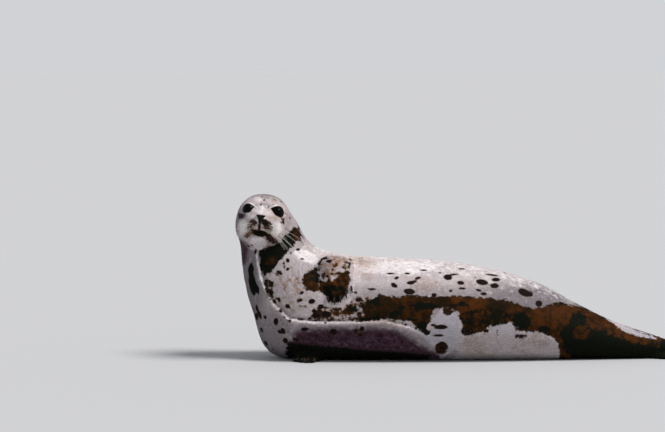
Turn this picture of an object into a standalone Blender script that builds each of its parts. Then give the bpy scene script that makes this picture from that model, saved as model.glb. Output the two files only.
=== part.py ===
"""A spotted seal resting on its right side with its head raised, life size, in metres, +Z up.

The animal lies along X with its tail towards +X. Its belly faces -Y and its left flank is uppermost.
The neck climbs at the -X end and the face looks along -Y. The floor is z = 0, and the origin lies on
the floor under the belly. The flesh is fused from a lofted body and a lofted head with rounded forms
on it, and then parted into head, neck, chest, belly and hindquarters by thin cuts. All that touches
the floor is flat there.
"""

import math
from collections import namedtuple

import bmesh
import bpy
from mathutils import Euler, Matrix, Vector
from mathutils.bvhtree import BVHTree

GAP = 0.0003  # between neighbouring solids
VOXEL = 0.005  # grid that fuses the forms of the flesh
SMOOTHING_STEPS = 16
BODY_TRIANGLES = 2700  # of the whole flesh where it is coarse enough for the body
HEAD_TRIANGLES = 6600  # of the whole flesh where it is fine enough for the head
SLIVER = 0.000002  # edges shorter than this are dissolved after a cut
BLOCK = 3.0  # side of the blocks that part the flesh

# ---------------------------------------------------------------- trunk and neck
# A station is a section of the neck or trunk: its upper and lower edge as (x, z), half its depth
# along Y, and how far its middle lies from the XZ plane.
Station = namedtuple("Station", "place upper lower half_depth shift")
STATIONS = (
    Station("inside the skull", (-0.440, 0.462), (-0.562, 0.466), 0.060, 0.005),
    Station("skull base", (-0.407, 0.418), (-0.590, 0.424), 0.086, 0.008),
    Station("upper neck", (-0.380, 0.366), (-0.585, 0.340), 0.094, 0.008),
    Station("lower neck", (-0.346, 0.340), (-0.573, 0.240), 0.112, 0.004),
    Station("shoulders", (-0.305, 0.327), (-0.546, 0.140), 0.136, 0.0),
    Station("breast", (-0.256, 0.318), (-0.496, 0.016), 0.162, 0.0),
    Station("forearms", (-0.195, 0.315), (-0.340, -0.013), 0.178, 0.0),
    Station("ribs", (-0.080, 0.309), (-0.115, -0.013), 0.184, 0.0),
    Station("belly", (0.075, 0.296), (0.070, -0.013), 0.182, 0.0),
    Station("loins", (0.225, 0.268), (0.222, -0.012), 0.168, 0.002),
    Station("hips", (0.345, 0.228), (0.343, -0.011), 0.145, 0.004),
    Station("thighs", (0.455, 0.168), (0.455, -0.009), 0.113, 0.004),
    Station("shanks", (0.575, 0.110), (0.575, -0.007), 0.080, 0.002),
    Station("ankles", (0.672, 0.078), (0.672, -0.004), 0.057, 0.0),
    Station("heels", (0.712, 0.066), (0.712, 0.004), 0.044, 0.0),
)
RING_SIDES = 48
RINGS_PER_SPAN = 4
SAG = 0.05  # how much further the lower half of a section spreads than its upper half
ROUNDNESS = 2.1  # exponent of a section's superellipse

# ---------------------------------------------------------------- head
# The head is built about the midpoint between the eyeballs: x to the animal's left, -y forwards.
EYES_MIDPOINT = Vector((-0.511, -0.080, 0.463))
HEAD_TURN = Euler((math.radians(-8), math.radians(5.5), math.radians(-2)))
HEAD = Matrix.Translation(EYES_MIDPOINT) @ HEAD_TURN.to_matrix().to_4x4()
EYE_PLACE = Vector((0.0418, 0.0035, -0.0072))  # of the left eyeball
EYE_RADIUS = 0.0212
EYE_OUTWARD = math.radians(24)  # gaze to the side
EYE_UPWARD = math.radians(14)
EYE_OPENING = (0.0190, 0.0160)  # half width and half height between the lids
OPENING_SIDES = 20

# A head station is a section across the head: how far back it lies, its top, its bottom, the level
# where it is widest, and half its width there.
HeadStation = namedtuple("HeadStation", "place y top bottom level half_width")
HEAD_STATIONS = (
    HeadStation("nose tip", -0.081, -0.026, -0.060, -0.043, 0.015),
    HeadStation("upper lip", -0.072, -0.022, -0.088, -0.058, 0.032),
    HeadStation("chin", -0.056, -0.016, -0.106, -0.064, 0.044),
    HeadStation("muzzle", -0.036, -0.008, -0.115, -0.066, 0.053),
    HeadStation("muzzle root", -0.014, 0.006, -0.120, -0.063, 0.066),
    HeadStation("eyes", 0.008, 0.025, -0.122, -0.056, 0.077),
    HeadStation("brows", 0.034, 0.043, -0.122, -0.048, 0.084),
    HeadStation("crown", 0.070, 0.055, -0.120, -0.043, 0.087),
    HeadStation("ears", 0.108, 0.053, -0.115, -0.042, 0.086),
    HeadStation("nape", 0.142, 0.036, -0.105, -0.042, 0.077),
    HeadStation("occiput", 0.166, 0.002, -0.088, -0.044, 0.052),
    HeadStation("back of the head", 0.177, -0.026, -0.066, -0.046, 0.020),
)
HEAD_ROUNDNESS = 2.25  # exponent of its superellipse

Form = namedtuple("Form", "place centre radii paired")
HEAD_FORMS = (
    Form("brow", (0.034, 0.035, -0.006), (0.043, 0.049, 0.038), True),
    Form("whisker pad", (0.0240, -0.040, -0.060), (0.028, 0.037, 0.027), True),
    Form("lower jaw", (0, -0.026, -0.096), (0.033, 0.040, 0.022), False),
)
NOSE_CENTRE = Vector((0, -0.0735, -0.0385))
NOSE_RADII = Vector((0.0140, 0.0105, 0.0130))
NOSE_TAPER = 0.40  # how much wider its top is than its middle

# ---------------------------------------------------------------- cuts
# Each cut is a point on its plane and the plane's normal, which points towards the head.
HEAD_CUT = ((-0.50, 0, 0.377), (0, -0.463, 0.886))
NECK_CUT = ((-0.465, 0, 0.294), (-0.470, 0, 0.883))
CHEST_CUT = ((-0.245, 0, 0.150), (-0.955, 0, 0.295))
BELLY_CUT = ((0.270, 0, 0.100), (-0.998, 0, 0.060))

# ---------------------------------------------------------------- flippers, tail, claws
DIGITS = 5
PADDLE_ROWS = 8
PADDLE_COLUMNS = 17
WEB_SHARE = 0.62  # thickness of a web beside its digits' own
WEB_NOTCH = 0.035  # how far the web falls back between two digits, as a share of the length
TIP_SHARE = 0.34  # thickness at the tips beside the root's own
EDGE_SHARE = 0.30  # least thickness of the rounded tip beside the thickness there
ROOT_SHARE = 0.08  # thickness where it leaves the flesh
# reaches: how far each digit goes as a share of the length, from the leading edge on
# rise: the share of the length over which it swells out of the flesh
Paddle = namedtuple("Paddle", "length root_width tip_width thickness rise reaches claw_length claw_radius")
HAND = Paddle(0.200, 0.112, 0.084, 0.042, 0.34, (0.96, 1.0, 0.98, 0.92, 0.84), 0.026, 0.0040)
FOOT = Paddle(0.320, 0.078, 0.132, 0.029, 0.001, (1.0, 0.94, 0.91, 0.94, 1.0), 0.015, 0.0031)
CLAW_SIDES = 6
CLAW_STEPS = 3
CLAW_BEND = 0.10  # how far its point sinks, as a share of its length
FLANK_RADIUS = 0.185  # of the trunk where the left hand lies on it
TRUNK_MIDDLE = 0.15  # height of the trunk's axis over the floor
HAND_LEFT_ROOT = (-0.296, math.radians(72))  # along X, and up from the belly's middle
HAND_LEFT_DROP = math.radians(84)  # how steeply it runs from its root down towards the belly
HAND_LEFT_SINK = 0.003  # how far its sole starts inside the flank, before the cut
HAND_RIGHT_ROOT = Vector((-0.335, 0.018, 0))
HAND_RIGHT_TURN = math.radians(-108)  # its direction on the floor, from +X
HAND_RIGHT_START = -0.092  # along Y, where it leaves the chest
FEET_ROOT = Vector((0.668, -0.010, 0))
FOOT_TURN = {"left": math.radians(1.5), "right": math.radians(-9)}
FEET_SPACING = 0.0012  # between one foot's back and the other's sole
TAIL_STEPS = 7
TAIL_SIDES = 14
TAIL_ROOT = Vector((0.625, 0.048, 0.046))
TAIL_WAY = Vector((0.136, 0.015, -0.008))
TAIL_RADII = (0.015, 0.026)  # half depth along Y and half width along Z
SHADE_ANGLE = math.radians(40)  # sharper edges than this are shaded flat

COAT_PALE = (0.56, 0.53, 0.51, 1)
COAT_DARK = (0.10, 0.06, 0.045, 1)
HORN = (0.035, 0.028, 0.024, 1)
LEATHER = (0.012, 0.011, 0.011, 1)
EYE_BLACK = (0.006, 0.005, 0.005, 1)


# ---------------------------------------------------------------- scene and materials
def clear_scene():
    for item in list(bpy.data.objects):
        bpy.data.objects.remove(item)


def new_collection(name):
    collection = bpy.data.collections.new(name)
    bpy.context.scene.collection.children.link(collection)
    return collection


def material(name, colour, roughness):
    made = bpy.data.materials.new(name)
    made.use_nodes = True
    shader = made.node_tree.nodes["Principled BSDF"]
    shader.inputs["Base Color"].default_value = colour
    shader.inputs["Roughness"].default_value = roughness
    shader.inputs["Metallic"].default_value = 0.0
    made.diffuse_color = colour
    return made


def add_object(name, mesh, collection):
    item = bpy.data.objects.new(name, mesh)
    collection.objects.link(item)
    return item


def finish_part(item, own_material):
    item.data.materials.clear()
    item.data.materials.append(own_material)
    item.data.shade_smooth()
    item.data.set_sharp_from_angle(angle=SHADE_ANGLE)


def as_cutter(item):
    item.hide_render = True
    item.display_type = "WIRE"
    return item


def bake(item):
    """Replace an object's mesh and modifiers by its evaluated mesh."""
    bpy.context.view_layer.update()
    evaluated = item.evaluated_get(bpy.context.evaluated_depsgraph_get())
    item.data = bpy.data.meshes.new_from_object(evaluated)
    item.modifiers.clear()
    return item


# ---------------------------------------------------------------- lofts
def blend(values, place):
    """Read a smooth curve through evenly spaced values (numbers or vectors) at a fractional place."""
    last = len(values) - 1
    first = min(int(place), last - 1)
    t = place - first
    b, c = values[first], values[first + 1]
    a = values[first - 1] if first > 0 else b + (b - c)
    d = values[first + 2] if first + 2 <= last else c + (c - b)
    return b + ((c - a) * t + (a * 2 - b * 5 + c * 4 - d) * t**2 + (b * 3 - a - c * 3 + d) * t**3) * 0.5


def signed_power(value, exponent):
    return math.copysign(abs(value) ** exponent, value)


def body_ring(place):
    """Points of the body's section at a fractional station, from the belly side round over the top."""
    upper = blend([Vector((s.upper[0], 0, s.upper[1])) for s in STATIONS], place)
    lower = blend([Vector((s.lower[0], 0, s.lower[1])) for s in STATIONS], place)
    depth = blend([s.half_depth for s in STATIONS], place)
    shift = blend([s.shift for s in STATIONS], place)
    centre = (upper + lower) / 2 + Vector((0, shift, 0))
    ring = []
    for side in range(RING_SIDES):
        angle = math.tau * side / RING_SIDES
        across = -signed_power(math.cos(angle), 2 / ROUNDNESS) * depth
        along = signed_power(math.sin(angle), 2 / ROUNDNESS)
        spread = 1 - SAG * along
        ring.append(centre + Vector((0, across * spread, 0)) + (upper - lower) / 2 * along)
    return ring


def head_ring(place):
    """Points of the head's section at a fractional head station, from its right side over the top."""
    station = HeadStation("", *(blend([s[value] for s in HEAD_STATIONS], place) for value in range(1, 6)))
    ring = []
    for side in range(RING_SIDES):
        angle = math.tau * side / RING_SIDES
        across = -signed_power(math.cos(angle), 2 / HEAD_ROUNDNESS) * station.half_width
        rise = signed_power(math.sin(angle), 2 / HEAD_ROUNDNESS)
        reach = station.top - station.level if rise > 0 else station.level - station.bottom
        ring.append(HEAD @ Vector((across, station.y, station.level + rise * reach)))
    return ring


def loft(name, rings, collection, flat_ended=False):
    """Skin a run of equal-sided rings and close both ends.

    An end is a fan about its middle, or on a flat-ended form it joins each point to the one across.
    """
    mesh_data = bmesh.new()
    rows = [[mesh_data.verts.new(point) for point in ring] for ring in rings]
    sides = len(rings[0])
    for row, following in zip(rows, rows[1:]):
        for side in range(sides):
            after = (side + 1) % sides
            mesh_data.faces.new((row[side], row[after], following[after], following[side]))
    for row in (rows[0], rows[-1]):
        if flat_ended:
            for side in range(sides // 2 - 1):
                mesh_data.faces.new((row[side], row[side + 1], row[-2 - side], row[-1 - side]))
            continue
        middle = mesh_data.verts.new(sum((vertex.co for vertex in row), Vector()) / sides)
        for side in range(sides):
            mesh_data.faces.new((row[side], row[(side + 1) % sides], middle))
    bmesh.ops.recalc_face_normals(mesh_data, faces=mesh_data.faces)
    mesh = bpy.data.meshes.new(name)
    mesh_data.to_mesh(mesh)
    mesh_data.free()
    return add_object(name, mesh, collection)


def ellipsoid(name, transform, centre, radii, collection, segments=32):
    mesh_data = bmesh.new()
    bmesh.ops.create_uvsphere(mesh_data, u_segments=segments, v_segments=segments // 2, radius=1)
    scale = Matrix.Diagonal((*radii, 1))
    bmesh.ops.transform(mesh_data, matrix=transform @ Matrix.Translation(centre) @ scale, verts=mesh_data.verts)
    mesh = bpy.data.meshes.new(name)
    mesh_data.to_mesh(mesh)
    mesh_data.free()
    return add_object(name, mesh, collection)


def join(name, items, collection):
    mesh_data = bmesh.new()
    for item in items:
        mesh_data.from_mesh(item.data)
        bpy.data.objects.remove(item)
    mesh = bpy.data.meshes.new(name)
    mesh_data.to_mesh(mesh)
    mesh_data.free()
    return add_object(name, mesh, collection)


# ---------------------------------------------------------------- flesh
def make_flesh(collection):
    """Fuse the body and the forms of the head into one smooth solid."""
    forms = []
    for name, ring, stations in (("body", body_ring, STATIONS), ("head", head_ring, HEAD_STATIONS)):
        steps = (len(stations) - 1) * RINGS_PER_SPAN + 1
        forms.append(loft(name, [ring(step / RINGS_PER_SPAN) for step in range(steps)], collection))
    for form in HEAD_FORMS:
        for side in (1, -1) if form.paired else (1,):
            centre = Vector((form.centre[0] * side, *form.centre[1:]))
            forms.append(ellipsoid(form.place, HEAD, centre, form.radii, collection))
    flesh = join("flesh", forms, collection)
    fuse = flesh.modifiers.new("fuse", "REMESH")
    fuse.mode = "VOXEL"
    fuse.voxel_size = VOXEL
    even = flesh.modifiers.new("even", "SMOOTH")
    even.factor = 0.5
    even.iterations = SMOOTHING_STEPS
    return as_cutter(bake(flesh))


def thinned(item, name, triangles, collection):
    """A copy of a fused form with about the given number of triangles."""
    copy = add_object(name, item.data.copy(), collection)
    thin = copy.modifiers.new("thin", "DECIMATE")
    thin.ratio = triangles / (2 * len(item.data.polygons))
    even = copy.modifiers.new("even", "SMOOTH")
    even.factor = 0.35  # enough to take out the thinning's pits
    even.iterations = 2
    return as_cutter(bake(copy))


def block(name, point, normal, collection):
    """A large box on the far side of a plane, facing along the plane's normal."""
    normal = Vector(normal).normalized()
    mesh_data = bmesh.new()
    bmesh.ops.create_cube(mesh_data, size=BLOCK)
    turn = normal.to_track_quat("Z", "Y").to_matrix().to_4x4()
    place = Matrix.Translation(Vector(point) - normal * (BLOCK / 2)) @ turn
    bmesh.ops.transform(mesh_data, matrix=place, verts=mesh_data.verts)
    mesh = bpy.data.meshes.new(name)
    mesh_data.to_mesh(mesh)
    mesh_data.free()
    return as_cutter(add_object(name, mesh, collection))


def cut_pair(name, point, normal, collection):
    """Two blocks that leave a thin gap between what each of them spares."""
    normal = Vector(normal).normalized()
    fore = block(f"{name} behind", Vector(point) + normal * GAP / 2, normal, collection)
    aft = block(f"{name} before", Vector(point) - normal * GAP / 2, -normal, collection)
    return fore, aft


# ---------------------------------------------------------------- flippers
def taper(share):
    """Thickness of a flipper a share of the way along it, beside its thickness at the root."""
    return TIP_SHARE + (1 - TIP_SHARE) * (1 - share) ** 0.7


def paddle_rings(paddle, place):
    """Rings of a flipper from its root to its tips, each point placed from (along, across, height)."""
    rings = []
    for row in range(PADDLE_ROWS):
        share = row / (PADDLE_ROWS - 1)
        swell = ROOT_SHARE + (1 - ROOT_SHARE) * math.sin(min(share / paddle.rise, 1.0) * math.pi / 2)
        width = paddle.root_width + (paddle.tip_width - paddle.root_width) * math.sin(share * math.pi / 2)
        width *= 0.5 + 0.5 * swell
        ending = max(math.sqrt(max(1 - share**10, 0.0)), EDGE_SHARE)
        back, sole = [], []
        for column in range(PADDLE_COLUMNS):
            side = 2 * column / (PADDLE_COLUMNS - 1) - 1
            digit = (side + 1) / 2 * (DIGITS - 1)
            between = 0.5 - 0.5 * math.cos(math.tau * digit)
            along = paddle.length * share * (blend(paddle.reaches, digit) - WEB_NOTCH * between * share**2)
            edge = math.sqrt(max(1 - abs(side) ** 3, 0.12))
            lift = paddle.thickness * taper(share) * swell * ending * edge
            lift *= 1 - (1 - WEB_SHARE) * between * share
            back.append(place(along, side * width / 2, lift))
            sole.append(place(along, side * width / 2, 0.0))
        rings.append(back + sole[::-1])
    return rings


def make_claw(name, root, way, up, paddle, collection):
    """A claw that starts inside its digit and bends down towards its point."""
    across = way.cross(up).normalized()
    rings = []
    for step in range(CLAW_STEPS):
        share = step / (CLAW_STEPS - 0.6)
        centre = root + (way * share - up * CLAW_BEND * share**2) * paddle.claw_length
        radius = paddle.claw_radius * (1 - share) ** 0.8
        turns = [math.tau * side / CLAW_SIDES for side in range(CLAW_SIDES)]
        rings.append([centre + (across * 0.8 * math.cos(t) + up * math.sin(t)) * radius for t in turns])
    return loft(name, rings, collection)


def make_claws(name, paddle, place, collection):
    """One claw on the end of each digit of a paddle."""
    claws = []
    for digit, reach in enumerate(paddle.reaches):
        across = paddle.tip_width * (digit / (DIGITS - 1) - 0.5) * 0.90
        start = paddle.length * reach - paddle.claw_length * 0.70
        height = paddle.thickness * taper(1.0) * 0.80
        root = place(start, across, height)
        way = (place(start + paddle.claw_length * 0.5, across, height) - root).normalized()
        up = place(start, across, height + paddle.claw_length) - root
        up = (up - way * up.dot(way)).normalized()
        claws.append(make_claw(f"{name}_{digit + 1}", root, way, up, paddle, collection))
    return claws


def left_hand_place(flesh):
    """Placing function of the left fore flipper, folded against the flank."""
    rows = bmesh.new()
    rows.from_mesh(flesh.data)
    tree = BVHTree.FromBMesh(rows)
    rows.free()

    def place(along, across, height):
        drop = HAND_LEFT_DROP
        x = HAND_LEFT_ROOT[0] + along * math.cos(drop) + across * math.sin(drop)
        arc = across * math.cos(drop) - along * math.sin(drop)
        angle = HAND_LEFT_ROOT[1] + arc / FLANK_RADIUS
        out = Vector((0, -math.cos(angle), math.sin(angle)))
        surface = tree.ray_cast(Vector((x, 0, TRUNK_MIDDLE)), out)[0]
        return surface + out * (height - HAND_LEFT_SINK)

    return place


def floor_place(root, turn, lift):
    """Placing function of a flipper that lies flat; lift gives its sole's height along it."""
    way = Vector((math.cos(turn), math.sin(turn), 0))
    side = Vector((math.sin(turn), -math.cos(turn), 0))

    def place(along, across, height):
        return root + way * along + side * across + Vector((0, 0, height + lift(along)))

    return place


def no_lift(along):
    """A sole that lies on the floor all along."""
    return 0.0


def above_right_foot(along):
    """A sole that follows the back of the right hind flipper."""
    share = min(along / (FOOT.length * min(FOOT.reaches)), 1.0)
    return FOOT.thickness * taper(share) + FEET_SPACING


# ---------------------------------------------------------------- tail, eyes and nose
def make_nose(collection):
    """The bare pad at the tip of the muzzle, wider at its top than at its foot."""
    nose = ellipsoid("nose", Matrix(), (0, 0, 0), NOSE_RADII, collection, 14)
    for vertex in nose.data.vertices:
        vertex.co.x *= 1 + NOSE_TAPER * vertex.co.z / NOSE_RADII.z
    nose.data.transform(HEAD @ Matrix.Translation(NOSE_CENTRE))
    return nose


def make_tail(collection):
    """A short flat cone that leaves the back between the hind flippers."""
    rings = []
    for step in range(TAIL_STEPS):
        share = step / (TAIL_STEPS - 1)
        radius = max(1 - share**2.6, 0.04) ** 0.6
        middle = TAIL_ROOT + TAIL_WAY * share
        turns = [math.tau * side / TAIL_SIDES for side in range(TAIL_SIDES)]
        depth, width = TAIL_RADII
        rings.append([middle + Vector((0, math.cos(t) * depth, math.sin(t) * width)) * radius for t in turns])
    return loft("tail", rings, collection)


def eye_frame(side):
    """Transform of an eyeball: its centre, with +Z along its gaze and +X across the eye."""
    gaze = Euler((math.radians(90) - EYE_UPWARD, 0, EYE_OUTWARD * side))
    return HEAD @ Matrix.Translation((EYE_PLACE.x * side, *EYE_PLACE.yz)) @ gaze.to_matrix().to_4x4()


def eye_opening(name, side, collection):
    """The space between the lids, widening outwards."""
    frame = eye_frame(side)
    rings = []
    for height, growth in ((EYE_RADIUS * 0.30, 0.96), (EYE_RADIUS, 1.04), (EYE_RADIUS * 2.2, 1.45)):
        turns = [math.tau * step / OPENING_SIDES for step in range(OPENING_SIDES)]
        wide, tall = (half * growth for half in EYE_OPENING)
        rings.append([frame @ Vector((wide * math.cos(t), tall * math.sin(t), height)) for t in turns])
    return as_cutter(loft(name, rings, collection))


# ---------------------------------------------------------------- parting
def clearance(item, collection):
    """A cutter that is the object swollen by the gap between parts."""
    cutter = add_object(f"{item.name} clearance", item.data.copy(), collection)
    swell = cutter.modifiers.new("gap", "DISPLACE")
    swell.strength = GAP
    swell.mid_level = 0.0
    return as_cutter(cutter)


def carve(item, blocks):
    """Take blocks from an object, and drop any crumbs that the cuts leave."""
    group = bpy.data.collections.new(f"{item.name} cutters")
    for cutter in blocks:
        group.objects.link(cutter)
    cut = item.modifiers.new("cut", "BOOLEAN")
    cut.operand_type = "COLLECTION"
    cut.collection = group
    cut.operation = "DIFFERENCE"
    cut.solver = "EXACT"
    bake(item)
    bpy.data.collections.remove(group)
    rows = bmesh.new()
    rows.from_mesh(item.data)
    bmesh.ops.dissolve_degenerate(rows, edges=rows.edges, dist=SLIVER)
    waiting = set(rows.verts)
    bodies = []
    while waiting:
        body = [waiting.pop()]
        for vertex in body:
            linked = {edge.other_vert(vertex) for edge in vertex.link_edges} & waiting
            waiting -= linked
            body.extend(linked)
        bodies.append(body)
    bodies.sort(key=len)
    crumbs = [vertex for body in bodies[:-1] for vertex in body]
    bmesh.ops.delete(rows, geom=crumbs, context="VERTS")
    rows.to_mesh(item.data)
    rows.free()


def main():
    clear_scene()
    seal = new_collection("spotted_seal")
    cutters = new_collection("cutters")
    pale = material("pale coat", COAT_PALE, 0.80)
    dark = material("dark coat", COAT_DARK, 0.75)
    horn = material("claw horn", HORN, 0.45)
    leather = material("nose leather", LEATHER, 0.35)
    black = material("eye", EYE_BLACK, 0.05)

    form = make_flesh(cutters)
    flesh = thinned(form, "body flesh", BODY_TRIANGLES, cutters)
    fine_flesh = thinned(form, "head flesh", HEAD_TRIANGLES, cutters)
    floor = block("floor", (0, 0, 0), (0, 0, 1), cutters)
    below_head, above_neck = cut_pair("head cut", *HEAD_CUT, cutters)
    below_neck, above_chest = cut_pair("neck cut", *NECK_CUT, cutters)
    behind_chest, before_belly = cut_pair("chest cut", *CHEST_CUT, cutters)
    behind_belly, before_hips = cut_pair("belly cut", *BELLY_CUT, cutters)
    nodes = (
        ("head", fine_flesh, (below_head,), pale),
        ("neck", flesh, (above_neck, below_neck), pale),
        ("chest", flesh, (above_chest, behind_chest, floor), pale),
        ("belly", flesh, (before_belly, behind_belly, floor), pale),
        ("hindquarters", flesh, (before_hips, floor), dark),
    )
    for name, source, blocks, coat in nodes:
        item = add_object(name, source.data.copy(), seal)
        carve(item, blocks)
        finish_part(item, coat)

    sockets = []
    for side, name in ((1, "left"), (-1, "right")):
        ball = ellipsoid(f"eye_{name}", eye_frame(side), (0, 0, 0), (EYE_RADIUS,) * 3, seal, 16)
        finish_part(ball, black)
        sockets += [clearance(ball, cutters), eye_opening(f"eye opening {name}", side, cutters)]
    nose = make_nose(seal)
    finish_part(nose, leather)
    head = seal.objects["head"]
    carve(head, sockets + [clearance(nose, cutters)])
    finish_part(head, pale)

    flesh_clearance = clearance(flesh, cutters)
    tail = make_tail(seal)
    carve(tail, [flesh_clearance])
    finish_part(tail, dark)

    root_cut = block("right hand root cut", (0, HAND_RIGHT_START, 0), (0, -1, 0), cutters)
    on_floor = {side: floor_place(FEET_ROOT, turn, lift) for side, turn, lift in (
        ("left", FOOT_TURN["left"], above_right_foot), ("right", FOOT_TURN["right"], no_lift))}
    right_hand = floor_place(HAND_RIGHT_ROOT, HAND_RIGHT_TURN, no_lift)
    flippers = (
        ("fore", "left", HAND, left_hand_place(flesh), []),
        ("fore", "right", HAND, right_hand, [root_cut]),
        ("hind", "left", FOOT, on_floor["left"], []),
        ("hind", "right", FOOT, on_floor["right"], []),
    )
    for pair, side, paddle, place, blocks in flippers:
        flipper = loft(f"{pair}_flipper_{side}", paddle_rings(paddle, place), seal, flat_ended=True)
        claws = make_claws(f"{pair}_claw_{side}", paddle, place, seal)
        for claw in claws:
            finish_part(claw, horn)
        carve(flipper, [clearance(claw, cutters) for claw in claws] + [flesh_clearance] + blocks)
        finish_part(flipper, dark)


main()
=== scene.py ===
"""Looks of a life-size spotted seal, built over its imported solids, in metres, +Z up.

The seal lies on its right side. Its tail is towards +X, its belly and face look along -Y, and its left
flank is uppermost. One skin stands for all the flesh. Solid tufts of coat lie along it, and skin and
coat read the same markings. Eyes, nose, claws and whiskers are pieces of their own.
"""

from __future__ import annotations

import logging
import math
from dataclasses import dataclass, field
from enum import Enum
from typing import Sequence

import bmesh
import bpy
import numpy as np
from bpy.types import Material, Mesh, Node, NodeSocket, NodeTree, Object
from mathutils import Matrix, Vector, noise
from mathutils.bvhtree import BVHTree


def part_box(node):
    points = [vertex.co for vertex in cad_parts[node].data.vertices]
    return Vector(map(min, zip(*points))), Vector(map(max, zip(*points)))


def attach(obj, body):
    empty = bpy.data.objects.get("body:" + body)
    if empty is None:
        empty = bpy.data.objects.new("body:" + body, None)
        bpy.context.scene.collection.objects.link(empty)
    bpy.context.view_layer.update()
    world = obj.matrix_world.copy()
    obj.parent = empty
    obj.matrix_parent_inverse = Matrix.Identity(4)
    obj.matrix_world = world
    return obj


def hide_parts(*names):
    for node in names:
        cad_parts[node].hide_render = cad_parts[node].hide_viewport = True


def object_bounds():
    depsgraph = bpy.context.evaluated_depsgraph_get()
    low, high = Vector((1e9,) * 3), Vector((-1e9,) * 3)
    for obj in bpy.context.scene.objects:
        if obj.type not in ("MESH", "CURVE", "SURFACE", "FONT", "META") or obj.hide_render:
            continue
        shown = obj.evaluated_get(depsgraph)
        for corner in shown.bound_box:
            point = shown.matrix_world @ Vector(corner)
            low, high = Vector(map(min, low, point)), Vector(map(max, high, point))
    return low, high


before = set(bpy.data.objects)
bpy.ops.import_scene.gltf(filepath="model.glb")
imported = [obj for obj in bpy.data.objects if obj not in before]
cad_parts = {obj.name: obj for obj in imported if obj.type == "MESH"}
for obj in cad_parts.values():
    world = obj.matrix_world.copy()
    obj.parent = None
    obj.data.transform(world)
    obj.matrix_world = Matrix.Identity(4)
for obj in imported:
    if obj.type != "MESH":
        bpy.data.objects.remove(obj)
CAD_LOW, CAD_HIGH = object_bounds()

Array = np.ndarray
Triple = tuple[float, float, float]
Outline = Sequence[tuple[float, float]]
MM = 0.001
SEED = 11
log = logging.getLogger("seal")


# ---- small maths
def smooth(low: float, high: float, value: Array) -> Array:
    """Ease from 0 at low to 1 at high."""
    share = np.clip((value - low) / (high - low), 0, 1)
    return share * share * (3 - 2 * share)


def bell(value: Array) -> Array:
    """1 at 0, falling away to both sides."""
    return np.exp(-value**2)


def unit(vectors: Array) -> Array:
    """Scale each row to length one."""
    return vectors / np.maximum(np.linalg.norm(vectors, axis=-1, keepdims=True), 1e-9)


def norms(vectors: Array) -> Array:
    """Length of each row."""
    return np.linalg.norm(vectors, axis=1)


def dots(first: Array, second: Array) -> Array:
    """Row by row dot product."""
    return (first * second).sum(-1)


def ripple(points: Array, size: float, seed: float) -> Array:
    """Soft noise between about -1 and 1, with lumps of the given size.

    Args:
        points: Places, one per row.
        size: Width of a lump in metres.
        seed: Shift that makes each use different.

    Returns:
        One value per place.
    """
    shift = Vector((seed, seed * 1.7, -seed))
    return np.array([noise.noise(Vector(p) / size + shift) for p in points])


def inside(across: Array, up: Array, outline: Outline) -> Array:
    """Signed distance into a closed outline.

    Args:
        across: First coordinate of each place, in metres.
        up: Second coordinate of each place, in metres.
        outline: Corners in millimetres.

    Returns:
        Centimetres inside the outline, negative outside.
    """
    corners = np.array(outline) * MM
    nearest = np.full(len(across), 1e9)
    crossings = np.zeros(len(across), int)
    for (ax, ay), (bx, by) in zip(corners, np.roll(corners, -1, axis=0)):
        px, py, ex, ey = across - ax, up - ay, bx - ax, by - ay
        share = np.clip((px * ex + py * ey) / (ex * ex + ey * ey), 0, 1)
        nearest = np.minimum(nearest, np.hypot(px - share * ex, py - share * ey))
        if ay != by:
            straddles = (ay > up) != (by > up)
            crossings += straddles & (across < (up - ay) / (by - ay) * ex + ax)
    return np.where(crossings % 2 == 1, nearest, -nearest) * 100


def along_line(across: Array, up: Array, line: Outline) -> tuple[Array, Array]:
    """Distance from an open line, and on which side of it a place lies.

    Args:
        across: First coordinate of each place, in metres.
        up: Second coordinate of each place, in metres.
        line: Points in millimetres.

    Returns:
        Signed distance in metres, positive to the right of the line's way, and the share of the
        line's length at the nearest point.
    """
    points = np.array(line) * MM
    lengths = np.hypot(*np.diff(points, axis=0).T)
    starts = np.concatenate([[0], np.cumsum(lengths)])
    best, side, place = np.full(len(across), 1e9), np.zeros(len(across)), np.zeros(len(across))
    for (ax, ay), (bx, by), start, length in zip(points, points[1:], starts, lengths):
        px, py, ex, ey = across - ax, up - ay, bx - ax, by - ay
        share = np.clip((px * ex + py * ey) / length**2, 0, 1)
        distance = np.hypot(px - share * ex, py - share * ey)
        closer = distance < best
        best = np.where(closer, distance, best)
        side = np.where(closer, np.sign(px * ey - py * ex), side)
        place = np.where(closer, (start + share * length) / starts[-1], place)
    return best * side, place


@dataclass(frozen=True)
class Spot:
    """An oval mark: its middle, its half sizes, all in millimetres, and its lean in degrees."""

    across: float
    up: float
    wide: float
    tall: float
    lean: float = 0.0

    def level(self, across: Array, up: Array) -> Array:
        """Centimetres inside the oval, negative outside.

        Args:
            across: First coordinate of each place, in metres.
            up: Second coordinate.

        Returns:
            Centimetres inside the oval, negative outside.
        """
        turn = math.radians(self.lean)
        dx, dy = across - self.across * MM, up - self.up * MM
        u = (dx * math.cos(turn) + dy * math.sin(turn)) / (self.wide * MM)
        v = (dy * math.cos(turn) - dx * math.sin(turn)) / (self.tall * MM)
        return (1 - np.hypot(u, v)) * min(self.wide, self.tall) / 10


def box_middle(node: str) -> Array:
    """Middle of a CAD node's box."""
    return np.array(sum(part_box(node), Vector()) / 2)


# ---- places on the animal
NOSE_BACK, NOSE_RISE = -0.0770, -0.0313  # place of the nose in the head's frame


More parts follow.
